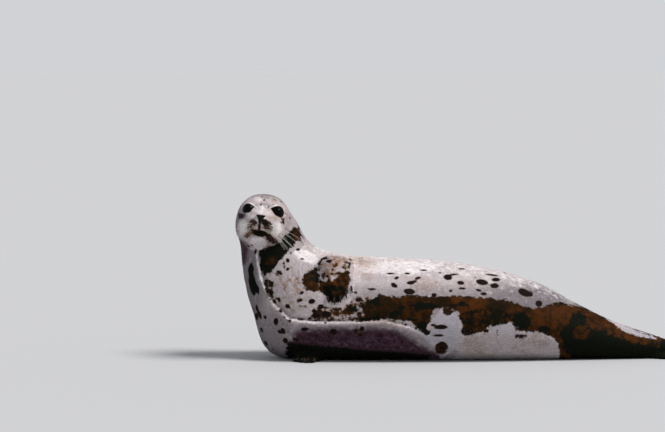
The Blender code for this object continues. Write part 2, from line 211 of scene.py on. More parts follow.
@dataclass(frozen=True)
class HeadFrame:
    """Directions of the head, about the middle between its eyes: x to its left, y back, z up."""

    origin: Array
    axes: Array

    @classmethod
    def of_solids(cls) -> "HeadFrame":
        """Read the frame from the eyes and the nose of the solids.

        Returns:
            The frame.
        """
        left, right, nose = (box_middle(node) for node in ("eye_left", "eye_right", "nose"))
        origin = (left + right) / 2
        x = unit(left - right)
        ahead = unit((nose - origin) - x * (nose - origin).dot(x))
        dip = math.atan2(NOSE_RISE, NOSE_BACK)
        upright = np.cross(x, ahead)
        y = ahead * math.cos(dip) - upright * math.sin(dip)
        z = ahead * math.sin(dip) + upright * math.cos(dip)
        return cls(origin, np.stack([x, y, z]))

    def local(self, points: Array) -> Array:
        """Places in the head's own frame."""
        return (points - self.origin) @ self.axes.T

    def world(self, points: Array) -> Array:
        """Places of the head's own frame in the row's frame."""
        return points @ self.axes + self.origin

    def ahead(self, across: float, up: float) -> Array:
        """A place well ahead of the face, for rays that meet it, from its millimetres across and up."""
        return self.world(np.array((across, -200.0, up)) * MM)

    def world_way(self, vectors: Array) -> Array:
        """Directions of the head's own frame in the row's frame."""
        return vectors @ self.axes


@dataclass(frozen=True)
class SideChart:
    """A flat chart of the belly side, drawn from a little above and from nine metres in front of it.

    Its two coordinates are X and the height over the floor of what lies in the plane y = 0.
    """

    middle: Triple = (-0.30, 0.0, 0.437)
    distance: float = 9.0
    rise: float = 3.0

    def eye(self) -> Array:
        """Where the chart is drawn from."""
        rise = math.radians(self.rise)
        return np.array(self.middle) + np.array((0, -math.cos(rise), math.sin(rise))) * self.distance

    def read(self, points: Array) -> tuple[Array, Array]:
        """Chart coordinates of places on the animal.

        Args:
            points: Places on the animal.

        Returns:
            The chart's two coordinates of each, in metres.
        """
        rise = math.radians(self.rise)
        offset = points - self.eye()
        depth = offset[:, 1] * math.cos(rise) - offset[:, 2] * math.sin(rise)
        height = offset[:, 1] * math.sin(rise) + offset[:, 2] * math.cos(rise)
        scale = self.distance / depth
        return self.middle[0] + offset[:, 0] * scale, self.middle[2] + height * scale / math.cos(rise)

    def ray(self, across: float, up: float) -> Vector:
        """Direction from the eye through a chart place, given in metres."""
        target = Vector((across, 0.0, up))
        return (target - Vector(self.eye())).normalized()


@dataclass(frozen=True)
class BodyLine:
    """The line down the middle of the body from the skull to the heels, with its length and girth."""

    points: tuple[Triple, ...] = (
        (-0.505, 0.080, 0.450),
        (-0.495, 0.020, 0.370),
        (-0.470, 0.000, 0.270),
        (-0.415, 0.000, 0.190),
        (-0.300, 0.000, 0.158),
        (-0.080, 0.000, 0.150),
        (0.225, 0.000, 0.130),
        (0.455, 0.000, 0.080),
        (0.665, 0.000, 0.038),
        (1.010, 0.000, 0.022),
    )

    def read(self, places: Array) -> tuple[Array, Array, Array]:
        """Find each place on the body line.

        Args:
            places: Places on the skin, one per row.

        Returns:
            The length along the line, the angle round it from the belly over the left flank, and
            the way of the line there.
        """
        line = np.array(self.points)
        steps = np.diff(line, axis=0)
        lengths = norms(steps)
        ways = steps / lengths[:, None]
        starts = np.concatenate([[0], np.cumsum(lengths)])
        best = np.full(len(places), 1e9)
        length, foot, way = np.zeros(len(places)), np.zeros_like(places), np.zeros_like(places)
        for index, step_way in enumerate(ways):
            share = np.clip((places - line[index]) @ step_way / lengths[index], 0, 1)
            near = line[index] + steps[index] * share[:, None]
            distance = norms(places - near)
            closer = distance < best
            best = np.where(closer, distance, best)
            length = np.where(closer, starts[index] + share * lengths[index], length)
            foot = np.where(closer[:, None], near, foot)
            ahead = ways[min(index + 1, len(ways) - 1)] if index else step_way
            behind = ways[max(index - 1, 0)]
            bend = (share - 0.5)[:, None]
            blended = step_way * (1 - np.abs(bend)) + np.where(bend > 0, ahead, behind) * np.abs(bend)
            way = np.where(closer[:, None], blended, way)
        way = unit(way)
        front = unit(np.array((0.0, -1.0, 0.0)) + way * way[:, 1:2])
        side = np.cross(front, way)
        offset = places - foot
        return length, np.arctan2(dots(offset, side), dots(offset, front)), way


HEAD = HeadFrame.of_solids()
CHART = SideChart()
LINE = BodyLine()


# ---- shader nodes
class Wire:
    """A number in a material. Sums and products of wires add Math nodes."""

    def __init__(self, tree: NodeTree, socket: NodeSocket) -> None:
        """Hold a socket of a node tree."""
        self.tree = tree
        self.socket = socket

    def maths(self, operation: str, other: "Wire | float") -> "Wire":
        """Add a Math node.

        Args:
            operation: What the node does.
            other: Its second value. The first is this wire.

        Returns:
            The node's result.
        """
        node = self.tree.nodes.new("ShaderNodeMath")
        node.operation = operation
        for slot, value in zip(node.inputs, (self, other)):
            if isinstance(value, Wire):
                self.tree.links.new(value.socket, slot)
            else:
                slot.default_value = value
        return Wire(self.tree, node.outputs[0])

    def __add__(self, other: "Wire | float") -> "Wire":
        """This plus other."""
        return self.maths("ADD", other)

    __radd__ = __add__

    def __mul__(self, other: "Wire | float") -> "Wire":
        """This times other."""
        return self.maths("MULTIPLY", other)

    __rmul__ = __mul__

    def __sub__(self, other: "Wire | float") -> "Wire":
        """This less other."""
        return self.maths("SUBTRACT", other)

    def __rsub__(self, other: float) -> "Wire":
        """Other less this."""
        return (self * -1.0) + other

    def step(self, low: float, high: float) -> "Wire":
        """Ease from 0 at low to 1 at high.

        Args:
            low: Value that gives 0.
            high: Value that gives 1.

        Returns:
            The share.
        """
        node = self.tree.nodes.new("ShaderNodeMapRange")
        node.interpolation_type = "SMOOTHSTEP"
        self.tree.links.new(self.socket, node.inputs["Value"])
        node.inputs["From Min"].default_value = low
        node.inputs["From Max"].default_value = high
        return Wire(self.tree, node.outputs["Result"])


class Finisher:
    """Builds one material."""

    def __init__(self, name: str) -> None:
        """Start a material with a Principled shader.

        Args:
            name: Name of the material.
        """
        self.material = bpy.data.materials.new(name)
        self.material.use_nodes = True
        self.tree = self.material.node_tree
        self.shader = self.tree.nodes["Principled BSDF"]

    def node(self, kind: str, settings: dict | None = None, **values: object) -> Node:
        """Add a node.

        Args:
            kind: The node's type.
            settings: Properties of the node, set first.
            values: Value, wire or socket of each input, by its name with _ for a space.

        Returns:
            The node.
        """
        made = self.tree.nodes.new(kind)
        for key, value in (settings or {}).items():
            setattr(made, key, value)
        for key, value in values.items():
            self.feed(made.inputs[key.replace("_", " ")], value)
        return made

    def feed(self, slot: NodeSocket, value: object) -> None:
        """Link or set one input.

        Args:
            slot: The input.
            value: A wire, a socket or a plain value.
        """
        if isinstance(value, Wire):
            self.tree.links.new(value.socket, slot)
        elif isinstance(value, NodeSocket):
            self.tree.links.new(value, slot)
        elif isinstance(value, tuple) and len(value) == 3 and slot.type == "RGBA":
            slot.default_value = (*value, 1.0)
        else:
            slot.default_value = value

    def wire(self, socket: NodeSocket) -> Wire:
        """Wrap a socket for sums."""
        return Wire(self.tree, socket)

    def attribute(self, name: str) -> Wire:
        """Read a number that the mesh holds at its points."""
        return self.wire(self.node("ShaderNodeAttribute", {"attribute_name": name}).outputs["Fac"])

    def place(self) -> NodeSocket:
        """Object coordinates."""
        return self.node("ShaderNodeTexCoord").outputs["Object"]

    def grain(self, vector: NodeSocket, scale: float, detail: float = 3.0,
              roughness: float = 0.55) -> Wire:
        """Noise about 0.5."""
        return self.wire(self.node("ShaderNodeTexNoise", Vector=vector, Scale=scale, Detail=detail,
                                   Roughness=roughness).outputs["Fac"])

    def mix(self, first: object, second: object, amount: object, blend: str = "MIX") -> NodeSocket:
        """Blend two colours by an amount.

        Args:
            first: Colour or socket.
            second: The other one.
            amount: Share of the second.
            blend: How they are blended.

        Returns:
            The blend.
        """
        made = self.node("ShaderNodeMix", {"data_type": "RGBA", "blend_type": blend})
        self.feed(made.inputs[0], amount)
        self.feed(made.inputs[6], first)
        self.feed(made.inputs[7], second)
        return made.outputs[2]

    def bump(self, height: Wire, strength: float, depth: float) -> None:
        """Raise the shader's surface by a height."""
        made = self.node("ShaderNodeBump", Height=height, Strength=strength, Distance=depth)
        self.tree.links.new(made.outputs["Normal"], self.shader.inputs["Normal"])

    def shade(self, **values: object) -> None:
        """Set or link inputs of the shader, by name with _ for a space."""
        for key, value in values.items():
            self.feed(self.shader.inputs[key.replace("_", " ")], value)


# ---- finishes
class CoatLayer(Enum):
    """Which surface wears the coat's colours."""

    SKIN = "skin"
    TUFTS = "tufts"


@dataclass(frozen=True)
class CoatFinish:
    """The coat's colours, shared by skin and tufts: stains and spots over pale grey, with painted shade
    and painted light.
    """

    layer: CoatLayer
    pale: Triple = (0.56, 0.495, 0.510)
    warm: Triple = (0.43, 0.335, 0.300)
    # Grey: mostly painted shade, and greyer coat on the brow.
    grey: Triple = (0.225, 0.200, 0.215)
    # White: painted light, and the pale chin, lines beside the nose, eye rings and nub.
    white: Triple = (0.80, 0.75, 0.76)
    patch: Triple = (0.46, 0.43, 0.47)
    # Purple-grey: painted shade on the lower roll, nape and far cheek, and wet, dirty fur on the roll.
    grime: Triple = (0.027, 0.009, 0.011)
    grime_pale: Triple = (0.128, 0.070, 0.108)
    rust: Triple = (0.084, 0.025, 0.0035)
    rust_dark: Triple = (0.015, 0.008, 0.002)
    tan: Triple = (0.31, 0.17, 0.085)
    black: Triple = (0.0045, 0.0060, 0.0030)
    spot: Triple = (0.011, 0.006, 0.005)
    spot_rim: Triple = (0.085, 0.040, 0.026)
    mole: Triple = (0.058, 0.024, 0.022)

    def make(self) -> Material:
        """Build the material.

        Returns:
            The material.
        """
        f = Finisher(f"coat_{self.layer.value}")
        place = f.place()
        broad = f.grain(place, 9.0, 3.0)
        fine = f.grain(place, 60.0, 4.0, 0.65)
        speck = f.grain(place, 340.0, 2.0, 0.7)
        ragged = (fine - 0.5) * 3.0 + (speck - 0.5) * 0.8

        colour = f.mix(self.pale, self.warm, (broad + (fine - 0.5) * 0.8).step(0.50, 0.72))
        # Mostly painted shade, through the grey.
        colour = f.mix(colour, self.grey, (f.attribute("grey") + (fine - 0.5) * 1.0).step(0.0, 1.0))
        # Painted light and pale coat, through the white.
        colour = f.mix(colour, self.white, (f.attribute("pale") + ragged * 0.4).step(-0.10, 0.40))
        # Purple-grey of painted shade and of wet, dirty fur, speckled paler.
        grime = (f.attribute("grime") * 0.55 + ragged * 0.5).step(-0.35, 0.75)
        grime_and_shade_colour = f.mix(self.grime, self.grime_pale, (speck * 0.8 + fine * 0.7).step(0.62, 0.98))
        colour = f.mix(colour, grime_and_shade_colour, grime)
        colour = f.mix(colour, self.tan, (f.attribute("tan") + ragged).step(-0.15, 0.5) * 0.85)
        depth = (broad * 0.8 + fine * 0.8 + speck * 0.3).step(0.74, 1.08)
        rust_colour = f.mix(self.rust, self.rust_dark, depth)
        colour = f.mix(colour, rust_colour, (f.attribute("rust") + ragged).step(-0.12, 0.30))
        colour = f.mix(colour, self.black, (f.attribute("black") + ragged * 0.9).step(-0.12, 0.35))
        colour = f.mix(colour, self.patch, (f.attribute("patch") + ragged * 0.7).step(-0.05, 0.25))
        mole = (f.attribute("mole") + (fine - 0.5) * 0.3).step(-0.10, 0.20) * 0.85
        colour = f.mix(colour, self.mole, mole)
        spot = f.attribute("spot") + (fine - 0.5) * 0.45 + (speck - 0.5) * 0.15
        colour = f.mix(colour, self.spot_rim, spot.step(-0.12, 0.02) * 0.8)
        colour = f.mix(colour, self.spot, spot.step(-0.03, 0.12))
        dark = (f.attribute("ink") + (speck - 0.5) * 0.3).step(-0.04, 0.10)
        colour = f.mix(colour, self.black, dark)
        shade = (speck - 0.5) * 0.5 + (fine - 0.5) * 0.35 + 1.0
        if self.layer is CoatLayer.TUFTS:
            shade = shade * f.attribute("tone")
        shades = f.node("ShaderNodeCombineColor", Red=shade, Green=shade, Blue=shade)
        colour = f.mix(colour, shades.outputs[0], 1.0, "MULTIPLY")
        f.shade(Base_Color=colour, Roughness=0.58, Specular_IOR_Level=0.06)
        if self.layer is CoatLayer.SKIN:
            lie = f.node("ShaderNodeAttribute", {"attribute_name": "lie"}).outputs["Vector"]
            strands = f.grain(lie, 1.0, 3.0, 0.7)
            f.bump(strands * 0.7 + fine * 0.3, 0.55, 0.0016)
        return f.material


@dataclass(frozen=True)
class EyeFinish:
    """A wet, nearly black eye with a dark brown iris."""

    name: str
    centre: Triple
    gaze: Triple
    pupil: Triple = (0.0015, 0.0015, 0.0015)
    iris: Triple = (0.0045, 0.0028, 0.0016)
    inner: tuple[float, float] = (0.0065, 0.0085)
    outer: tuple[float, float] = (0.0125, 0.0150)

    def make(self) -> Material:
        """Build the material.

        Returns:
            The material.
        """
        f = Finisher(self.name)
        turn = Vector(self.gaze).rotation_difference(Vector((0, 0, 1)))
        shifted = f.node("ShaderNodeVectorMath", {"operation": "SUBTRACT"})
        f.feed(shifted.inputs[0], f.place())
        f.feed(shifted.inputs[1], Vector(self.centre))
        turned = f.node("ShaderNodeVectorRotate", {"rotation_type": "EULER_XYZ"},
                        Vector=shifted.outputs[0], Rotation=turn.to_euler())
        flat = f.node("ShaderNodeVectorMath", {"operation": "MULTIPLY"})
        f.feed(flat.inputs[0], turned.outputs[0])
        f.feed(flat.inputs[1], (1.0, 1.0, 0.0))
        measure = f.node("ShaderNodeVectorMath", {"operation": "LENGTH"})
        f.feed(measure.inputs[0], flat.outputs[0])
        radius = f.wire(measure.outputs["Value"])
        rays = f.grain(turned.outputs[0], 420.0, 3.0)
        ring = radius.step(*self.inner) * (1.0 - radius.step(*self.outer))
        f.shade(Base_Color=f.mix(self.pupil, self.iris, ring * (rays * 0.8 + 0.3)), Roughness=0.12,
                Specular_IOR_Level=0.055)
        return f.material


@dataclass(frozen=True)
class NoseFinish:
    """Bare black skin with fine pebbling, moist."""

    base: Triple = (0.0030, 0.0031, 0.0028)
    worn: Triple = (0.0085, 0.0075, 0.0070)

    def make(self) -> Material:
        """Build the material.

        Returns:
            The material.
        """
        f = Finisher("nose_leather")
        place = f.place()
        cells = f.wire(f.node("ShaderNodeTexVoronoi", Vector=place, Scale=900.0).outputs["Distance"])
        fine = f.grain(place, 300.0)
        f.shade(Base_Color=f.mix(self.base, self.worn, fine.step(0.45, 0.75)),
                Roughness=cells * 0.25 + 0.34, Specular_IOR_Level=0.09)
        f.bump(cells * -1.0 + fine * 0.5, 0.4, 0.0005)
        return f.material


@dataclass(frozen=True)
class HornFinish:
    """Dark horn of the claws, with paler worn streaks."""

    base: Triple = (0.010, 0.008, 0.007)
    worn: Triple = (0.050, 0.038, 0.028)

    def make(self) -> Material:
        """Build the material.

        Returns:
            The material.
        """
        f = Finisher("claw_horn")
        place = f.place()
        streak = f.grain(place, 260.0, 4.0, 0.6)
        f.shade(Base_Color=f.mix(self.base, self.worn, streak.step(0.45, 0.8)),
                Roughness=streak * 0.3 + 0.3, Specular_IOR_Level=0.22)
        f.bump(streak, 0.35, 0.0005)
        return f.material


@dataclass(frozen=True)
class WhiskerFinish:
    """Pale horn with faint darker beads."""

    base: Triple = (0.80, 0.76, 0.70)
    root: Triple = (0.48, 0.40, 0.33)

    def make(self) -> Material:
        """Build the material.

        Returns:
            The material.
        """
        f = Finisher("whisker_horn")
        beads = f.grain(f.place(), 500.0, 1.0)
        f.shade(Base_Color=f.mix(self.base, self.root, beads.step(0.55, 0.85) * 0.5), Roughness=0.35)
        return f.material


@dataclass(frozen=True)
class FloorFinish:
    """Matt pale floor."""

    base: Triple = (0.487, 0.494, 0.510)

    def make(self) -> Material:
        """Build the material.

        Returns:
            The material.
        """
        f = Finisher("floor_paint")
        f.shade(Base_Color=self.base, Roughness=0.9)
        return f.material


# ---- mesh helpers
def pick(item: Object) -> None:
    """Select one object alone and make it active.

    Args:
        item: The object.
    """
    bpy.ops.object.select_all(action="DESELECT")
    item.select_set(True)
    bpy.context.view_layer.objects.active = item


def new_object(name: str, content: bpy.types.ID) -> Object:
    """Put a mesh, a lamp or a camera into the scene as an object.

    Args:
        name: Its name.
        content: What it holds.

    Returns:
        The object.
    """
    item = bpy.data.objects.new(name, content)
    bpy.context.scene.collection.objects.link(item)
    return item


def fetch(rows: bpy.types.bpy_prop_collection, name: str, width: int, kind: type = np.float32) -> Array:
    """Read one property of all rows of a mesh.

    Args:
        rows: The rows.
        name: The property.
        width: How many numbers each row has of it.
        kind: Kind of number.

    Returns:
        One row of numbers for each row of the mesh.
    """
    values = np.empty(len(rows) * width, kind)
    rows.foreach_get(name, values)
    return values.reshape(-1, width)


def solid_copy(name: str, node: str) -> Object:
    """Copy a CAD node's mesh, with its loose triangles merged.

    Args:
        name: Name of the copy.
        node: The CAD node.

    Returns:
        The copy.
    """
    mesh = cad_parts[node].data.copy()
    mesh.materials.clear()
    item = new_object(name, mesh)
    pick(item)
    bpy.ops.object.mode_set(mode="EDIT")
    bpy.ops.mesh.select_all(action="SELECT")
    bpy.ops.mesh.remove_doubles(threshold=0.00001)
    bpy.ops.object.mode_set(mode="OBJECT")
    return item


def finish_piece(item: Object, material: Material) -> None:
    """Give a finished piece its material and its body.

    Args:
        item: The piece.
        material: Its finish.
    """
    item.data.materials.clear()
    item.data.materials.append(material)
    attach(item, "root")
    log.info("%s: %d faces", item.name, len(item.data.polygons))


def number(mesh: Mesh, name: str, values: Array) -> None:
    """Store one number per point."""
    layer = mesh.attributes.new(name, "FLOAT", "POINT")
    layer.data.foreach_set("value", np.ascontiguousarray(values, np.float32))


class Clay:
    """A mesh that is shaped by moving its points."""

    def __init__(self, item: Object) -> None:
        """Take hold of an object's mesh."""
        self.item = item
        self.read()

    def read(self) -> None:
        """Fetch points and normals from the mesh."""
        self.points = fetch(self.item.data.vertices, "co", 3).astype(float)
        self.read_normals()

    def read_normals(self) -> None:
        """Fetch the normals alone."""
        self.normals = fetch(self.item.data.vertex_normals, "vector", 3).astype(float)

    def write(self) -> None:
        """Put the points back."""
        self.item.data.vertices.foreach_set("co", self.points.astype(np.float32).ravel())
        self.item.data.update()
        self.read_normals()

    def push(self, amount: Array) -> None:
        """Move each point along its normal, in metres."""
        self.points += self.normals * amount[:, None]
        self.write()

    def relax(self, weight: Array | float, steps: int) -> None:
        """Even the surface out.

        Args:
            weight: How strongly each point moves to the middle of its neighbours, 0 to 1.
            steps: How many times.
        """
        edges = fetch(self.item.data.edges, "vertices", 2, np.int32)
        first, second = edges.T
        count = len(self.points)
        degree = np.maximum(np.bincount(edges.ravel(), minlength=count), 1)[:, None]
        share = np.broadcast_to(weight, count)[:, None]
        for _ in range(steps):
            total = np.stack([np.bincount(first, self.points[second, k], count)
                              + np.bincount(second, self.points[first, k], count) for k in range(3)], 1)
            self.points += share * (total / degree - self.points)
        self.write()

    def refine(self, chosen: Array) -> None:
        """Subdivide every face whose corners are all chosen.

        Args:
            chosen: Whether each point is chosen.
        """
        mesh = self.item.data
        pick(self.item)
        mesh.vertices.foreach_set("select", chosen)
        mesh.edges.foreach_set("select", chosen[fetch(mesh.edges, "vertices", 2, np.int32)].all(1))
        mesh.polygons.foreach_set("select", [bool(chosen[list(p.vertices)].all()) for p in mesh.polygons])
        bpy.ops.object.mode_set(mode="EDIT")
        bpy.ops.mesh.select_mode(type="FACE")
        bpy.ops.mesh.subdivide(number_cuts=1, smoothness=0.0, ngon=False)
        bpy.ops.object.mode_set(mode="OBJECT")
        self.read()

    def tree(self) -> BVHTree:
        """Put the surface in a search tree.

        Returns:
            The tree.
        """
        rows = bmesh.new()
        rows.from_mesh(self.item.data)
        made = BVHTree.FromBMesh(rows)
        rows.free()
        return made


# ---- eyes
@dataclass(frozen=True)
class Eye:
    """An eyeball and the opening of its lids."""

    side: int
    radius: float = 0.0212
    outward: float = 24.0
    upward: float = 14.0
    half_width: float = 0.0190
    half_height: float = 0.0142
    tilt: float = 22.0
    margin: float = 1.08
    droop: float = 0.0012
    sag: float = 0.0016
    dome: float = 0.0007

    @property
    def node(self) -> str:
        """Name of the CAD node."""
        return "eye_left" if self.side > 0 else "eye_right"

    def centre(self) -> Array:
        """Middle of the eyeball."""
        return box_middle(self.node)

    def axes(self) -> Array:
        """Work out how the eye is turned.

        Returns:
            Rows: across the eye to the animal's left, up, and along the gaze.
        """
        out, up = math.radians(self.outward) * self.side, math.radians(self.upward)
        gaze = np.array((math.sin(out) * math.cos(up), -math.cos(out) * math.cos(up), math.sin(up)))
        across = np.array((math.cos(out), math.sin(out), 0.0))
        return HEAD.world_way(np.stack([across, np.cross(gaze, across), gaze]))

    def read(self, points: Array) -> tuple[Array, Array, Array, Array]:
        """Places in the eye's frame, and how far out of the lids' opening they lie.

        Args:
            points: Places, one per row.

        Returns:
            Across, up and along the gaze in metres, and the reach, which is 1 at the lids' edge.
        """
        u, v, w = ((points - self.centre()) @ self.axes().T).T
        turn = math.radians(-self.tilt * self.side)
        long = u * math.cos(turn) + v * math.sin(turn)
        high = v * math.cos(turn) - u * math.sin(turn)
        inner = np.clip(-long * self.side / self.half_width, 0, None)
        outer = np.clip(long * self.side / self.half_width, 0, None)
        high = high + self.droop * outer**2
        high = high + self.sag * np.clip(1 - inner, 0, 1) * inner * 4 * (high < 0)
        return u, v, w, np.hypot(long / (self.half_width * (1 + 0.10 * inner**2)),
                                 high / (self.half_height * (1 - 0.34 * np.clip(inner, 0, 1.3)**2)))

    def make(self) -> None:
        """Model the eyeball with its slightly bulging cornea."""
        bpy.ops.object.select_all(action="DESELECT")
        bpy.ops.mesh.primitive_uv_sphere_add(segments=48, ring_count=32, radius=self.radius)
        ball = bpy.context.active_object
        ball.name = ball.data.name = f"eyeball_{self.node[4:]}"
        clay = Clay(ball)
        reach = np.hypot(clay.points[:, 0], clay.points[:, 1])
        clay.points[:, 2] += self.dome * (smooth(0.014, 0.004, reach) * (clay.points[:, 2] > 0))
        clay.points = clay.points @ self.axes() + self.centre()
        clay.write()
        ball.data.shade_smooth()
        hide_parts(self.node)
        finish = EyeFinish(f"{self.node}_wet", tuple(self.centre()), tuple(self.axes()[2]))
        finish_piece(ball, finish.make())


EYES = (Eye(1, half_width=0.0194, half_height=0.0164), Eye(-1, half_width=0.0176, half_height=0.0145))


# ---- flippers
DIGITS = 5


@dataclass
class Flipper:
    """The digits of one flipper, read from its claws."""

    node: str
    claws: str
    root_share: float = 0.94
    root: Array = field(init=False)
    tips: Array = field(init=False)

    def __post_init__(self) -> None:
        """Find the tips at the claws, and the root at the far end."""
        self.tips = np.array([box_middle(node) for node in self.claw_nodes()])
        corners = np.array([v.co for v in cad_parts[self.node].data.vertices])
        reach = norms(corners - self.end)
        self.root = corners[reach > np.quantile(reach, self.root_share)].mean(0)

    @property
    def end(self) -> Array:
        """Middle of the tips."""
        return self.tips.mean(0)

    def claw_nodes(self) -> list[str]:
        """Names of the CAD nodes of its claws."""
        return [f"{self.claws}_{digit + 1}" for digit in range(DIGITS)]

    def read(self, points: Array) -> tuple[Array, Array]:
        """Where points lie on the flipper.

        Args:
            points: Places, one per row.

        Returns:
            The share of the way from root to tips, and the digit as a number from 0 to 4.
        """
        length = np.linalg.norm(self.end - self.root)
        way = unit(self.end - self.root)
        spread = unit(self.tips[-1] - self.tips[0])
        share = (points - self.root) @ way / length
        width = np.linalg.norm(self.tips[-1] - self.tips[0])
        across = (points - self.end) @ spread / width + 0.5
        return share, across * (DIGITS - 1)


FLIPPERS = (
    Flipper("fore_flipper_left", "fore_claw_left"),
    Flipper("fore_flipper_right", "fore_claw_right"),
    Flipper("hind_flipper_left", "hind_claw_left"),
    Flipper("hind_flipper_right", "hind_claw_right"),
)


# ---- skin
FLESH = ("head", "neck", "chest", "belly", "hindquarters", "tail", *(f.node for f in FLIPPERS))


class Zone(Enum):
    """Part of the animal that a place on the skin belongs to."""

    HEAD = ("head", "eye_left", "eye_right", "nose")
    NECK = ("neck",)
    CHEST = ("chest",)
    BELLY = ("belly",)
    HIPS = ("hindquarters",)
    TAIL = ("tail",)
    HAND_LEFT = ("fore_flipper_left",)
    HAND_RIGHT = ("fore_flipper_right",)
    FOOT_LEFT = ("hind_flipper_left",)
    FOOT_RIGHT = ("hind_flipper_right",)


ZONES = tuple(Zone)
PAWS = tuple(ZONES.index(z) for z in (Zone.HAND_LEFT, Zone.HAND_RIGHT, Zone.FOOT_LEFT, Zone.FOOT_RIGHT))


class ZoneFinder:
    """Tells which solid a place is nearest to."""

    def __init__(self) -> None:
        """Gather the flesh solids in one search tree."""
        corners, faces, self.owner = [], [], []
        for index, zone in enumerate(ZONES):
            for node in zone.value:
                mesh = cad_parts[node].data
                start = len(corners)
                corners += [v.co.copy() for v in mesh.vertices]
                faces += [[start + c for c in p.vertices] for p in mesh.polygons]
                self.owner += [index] * len(mesh.polygons)
        self.tree = BVHTree.FromPolygons(corners, faces)

    def read(self, points: Array) -> Array:
        """Index in ZONES of the nearest solid to each place."""
        return np.array([self.owner[self.tree.find_nearest(Vector(p))[2]] for p in points])


@dataclass(frozen=True)
class Brush:
    """One press of the thumb on the head: where, how wide, and how far out, in millimetres."""

    place: str
    centre: Triple
    radii: Triple
    push: float
    paired: bool = True

    def amount(self, local: Array) -> Array:
        """How far each place moves, in metres.

        Args:
            local: Places in the head's frame.

        Returns:
            The move of each, outwards.
        """
        total = np.zeros(len(local))
        for side in (1, -1) if self.paired else (1,):
            offset = (local / MM - np.array(self.centre) * (side, 1, 1)) / np.array(self.radii)
            total += bell(norms(offset))
        return total * self.push * MM


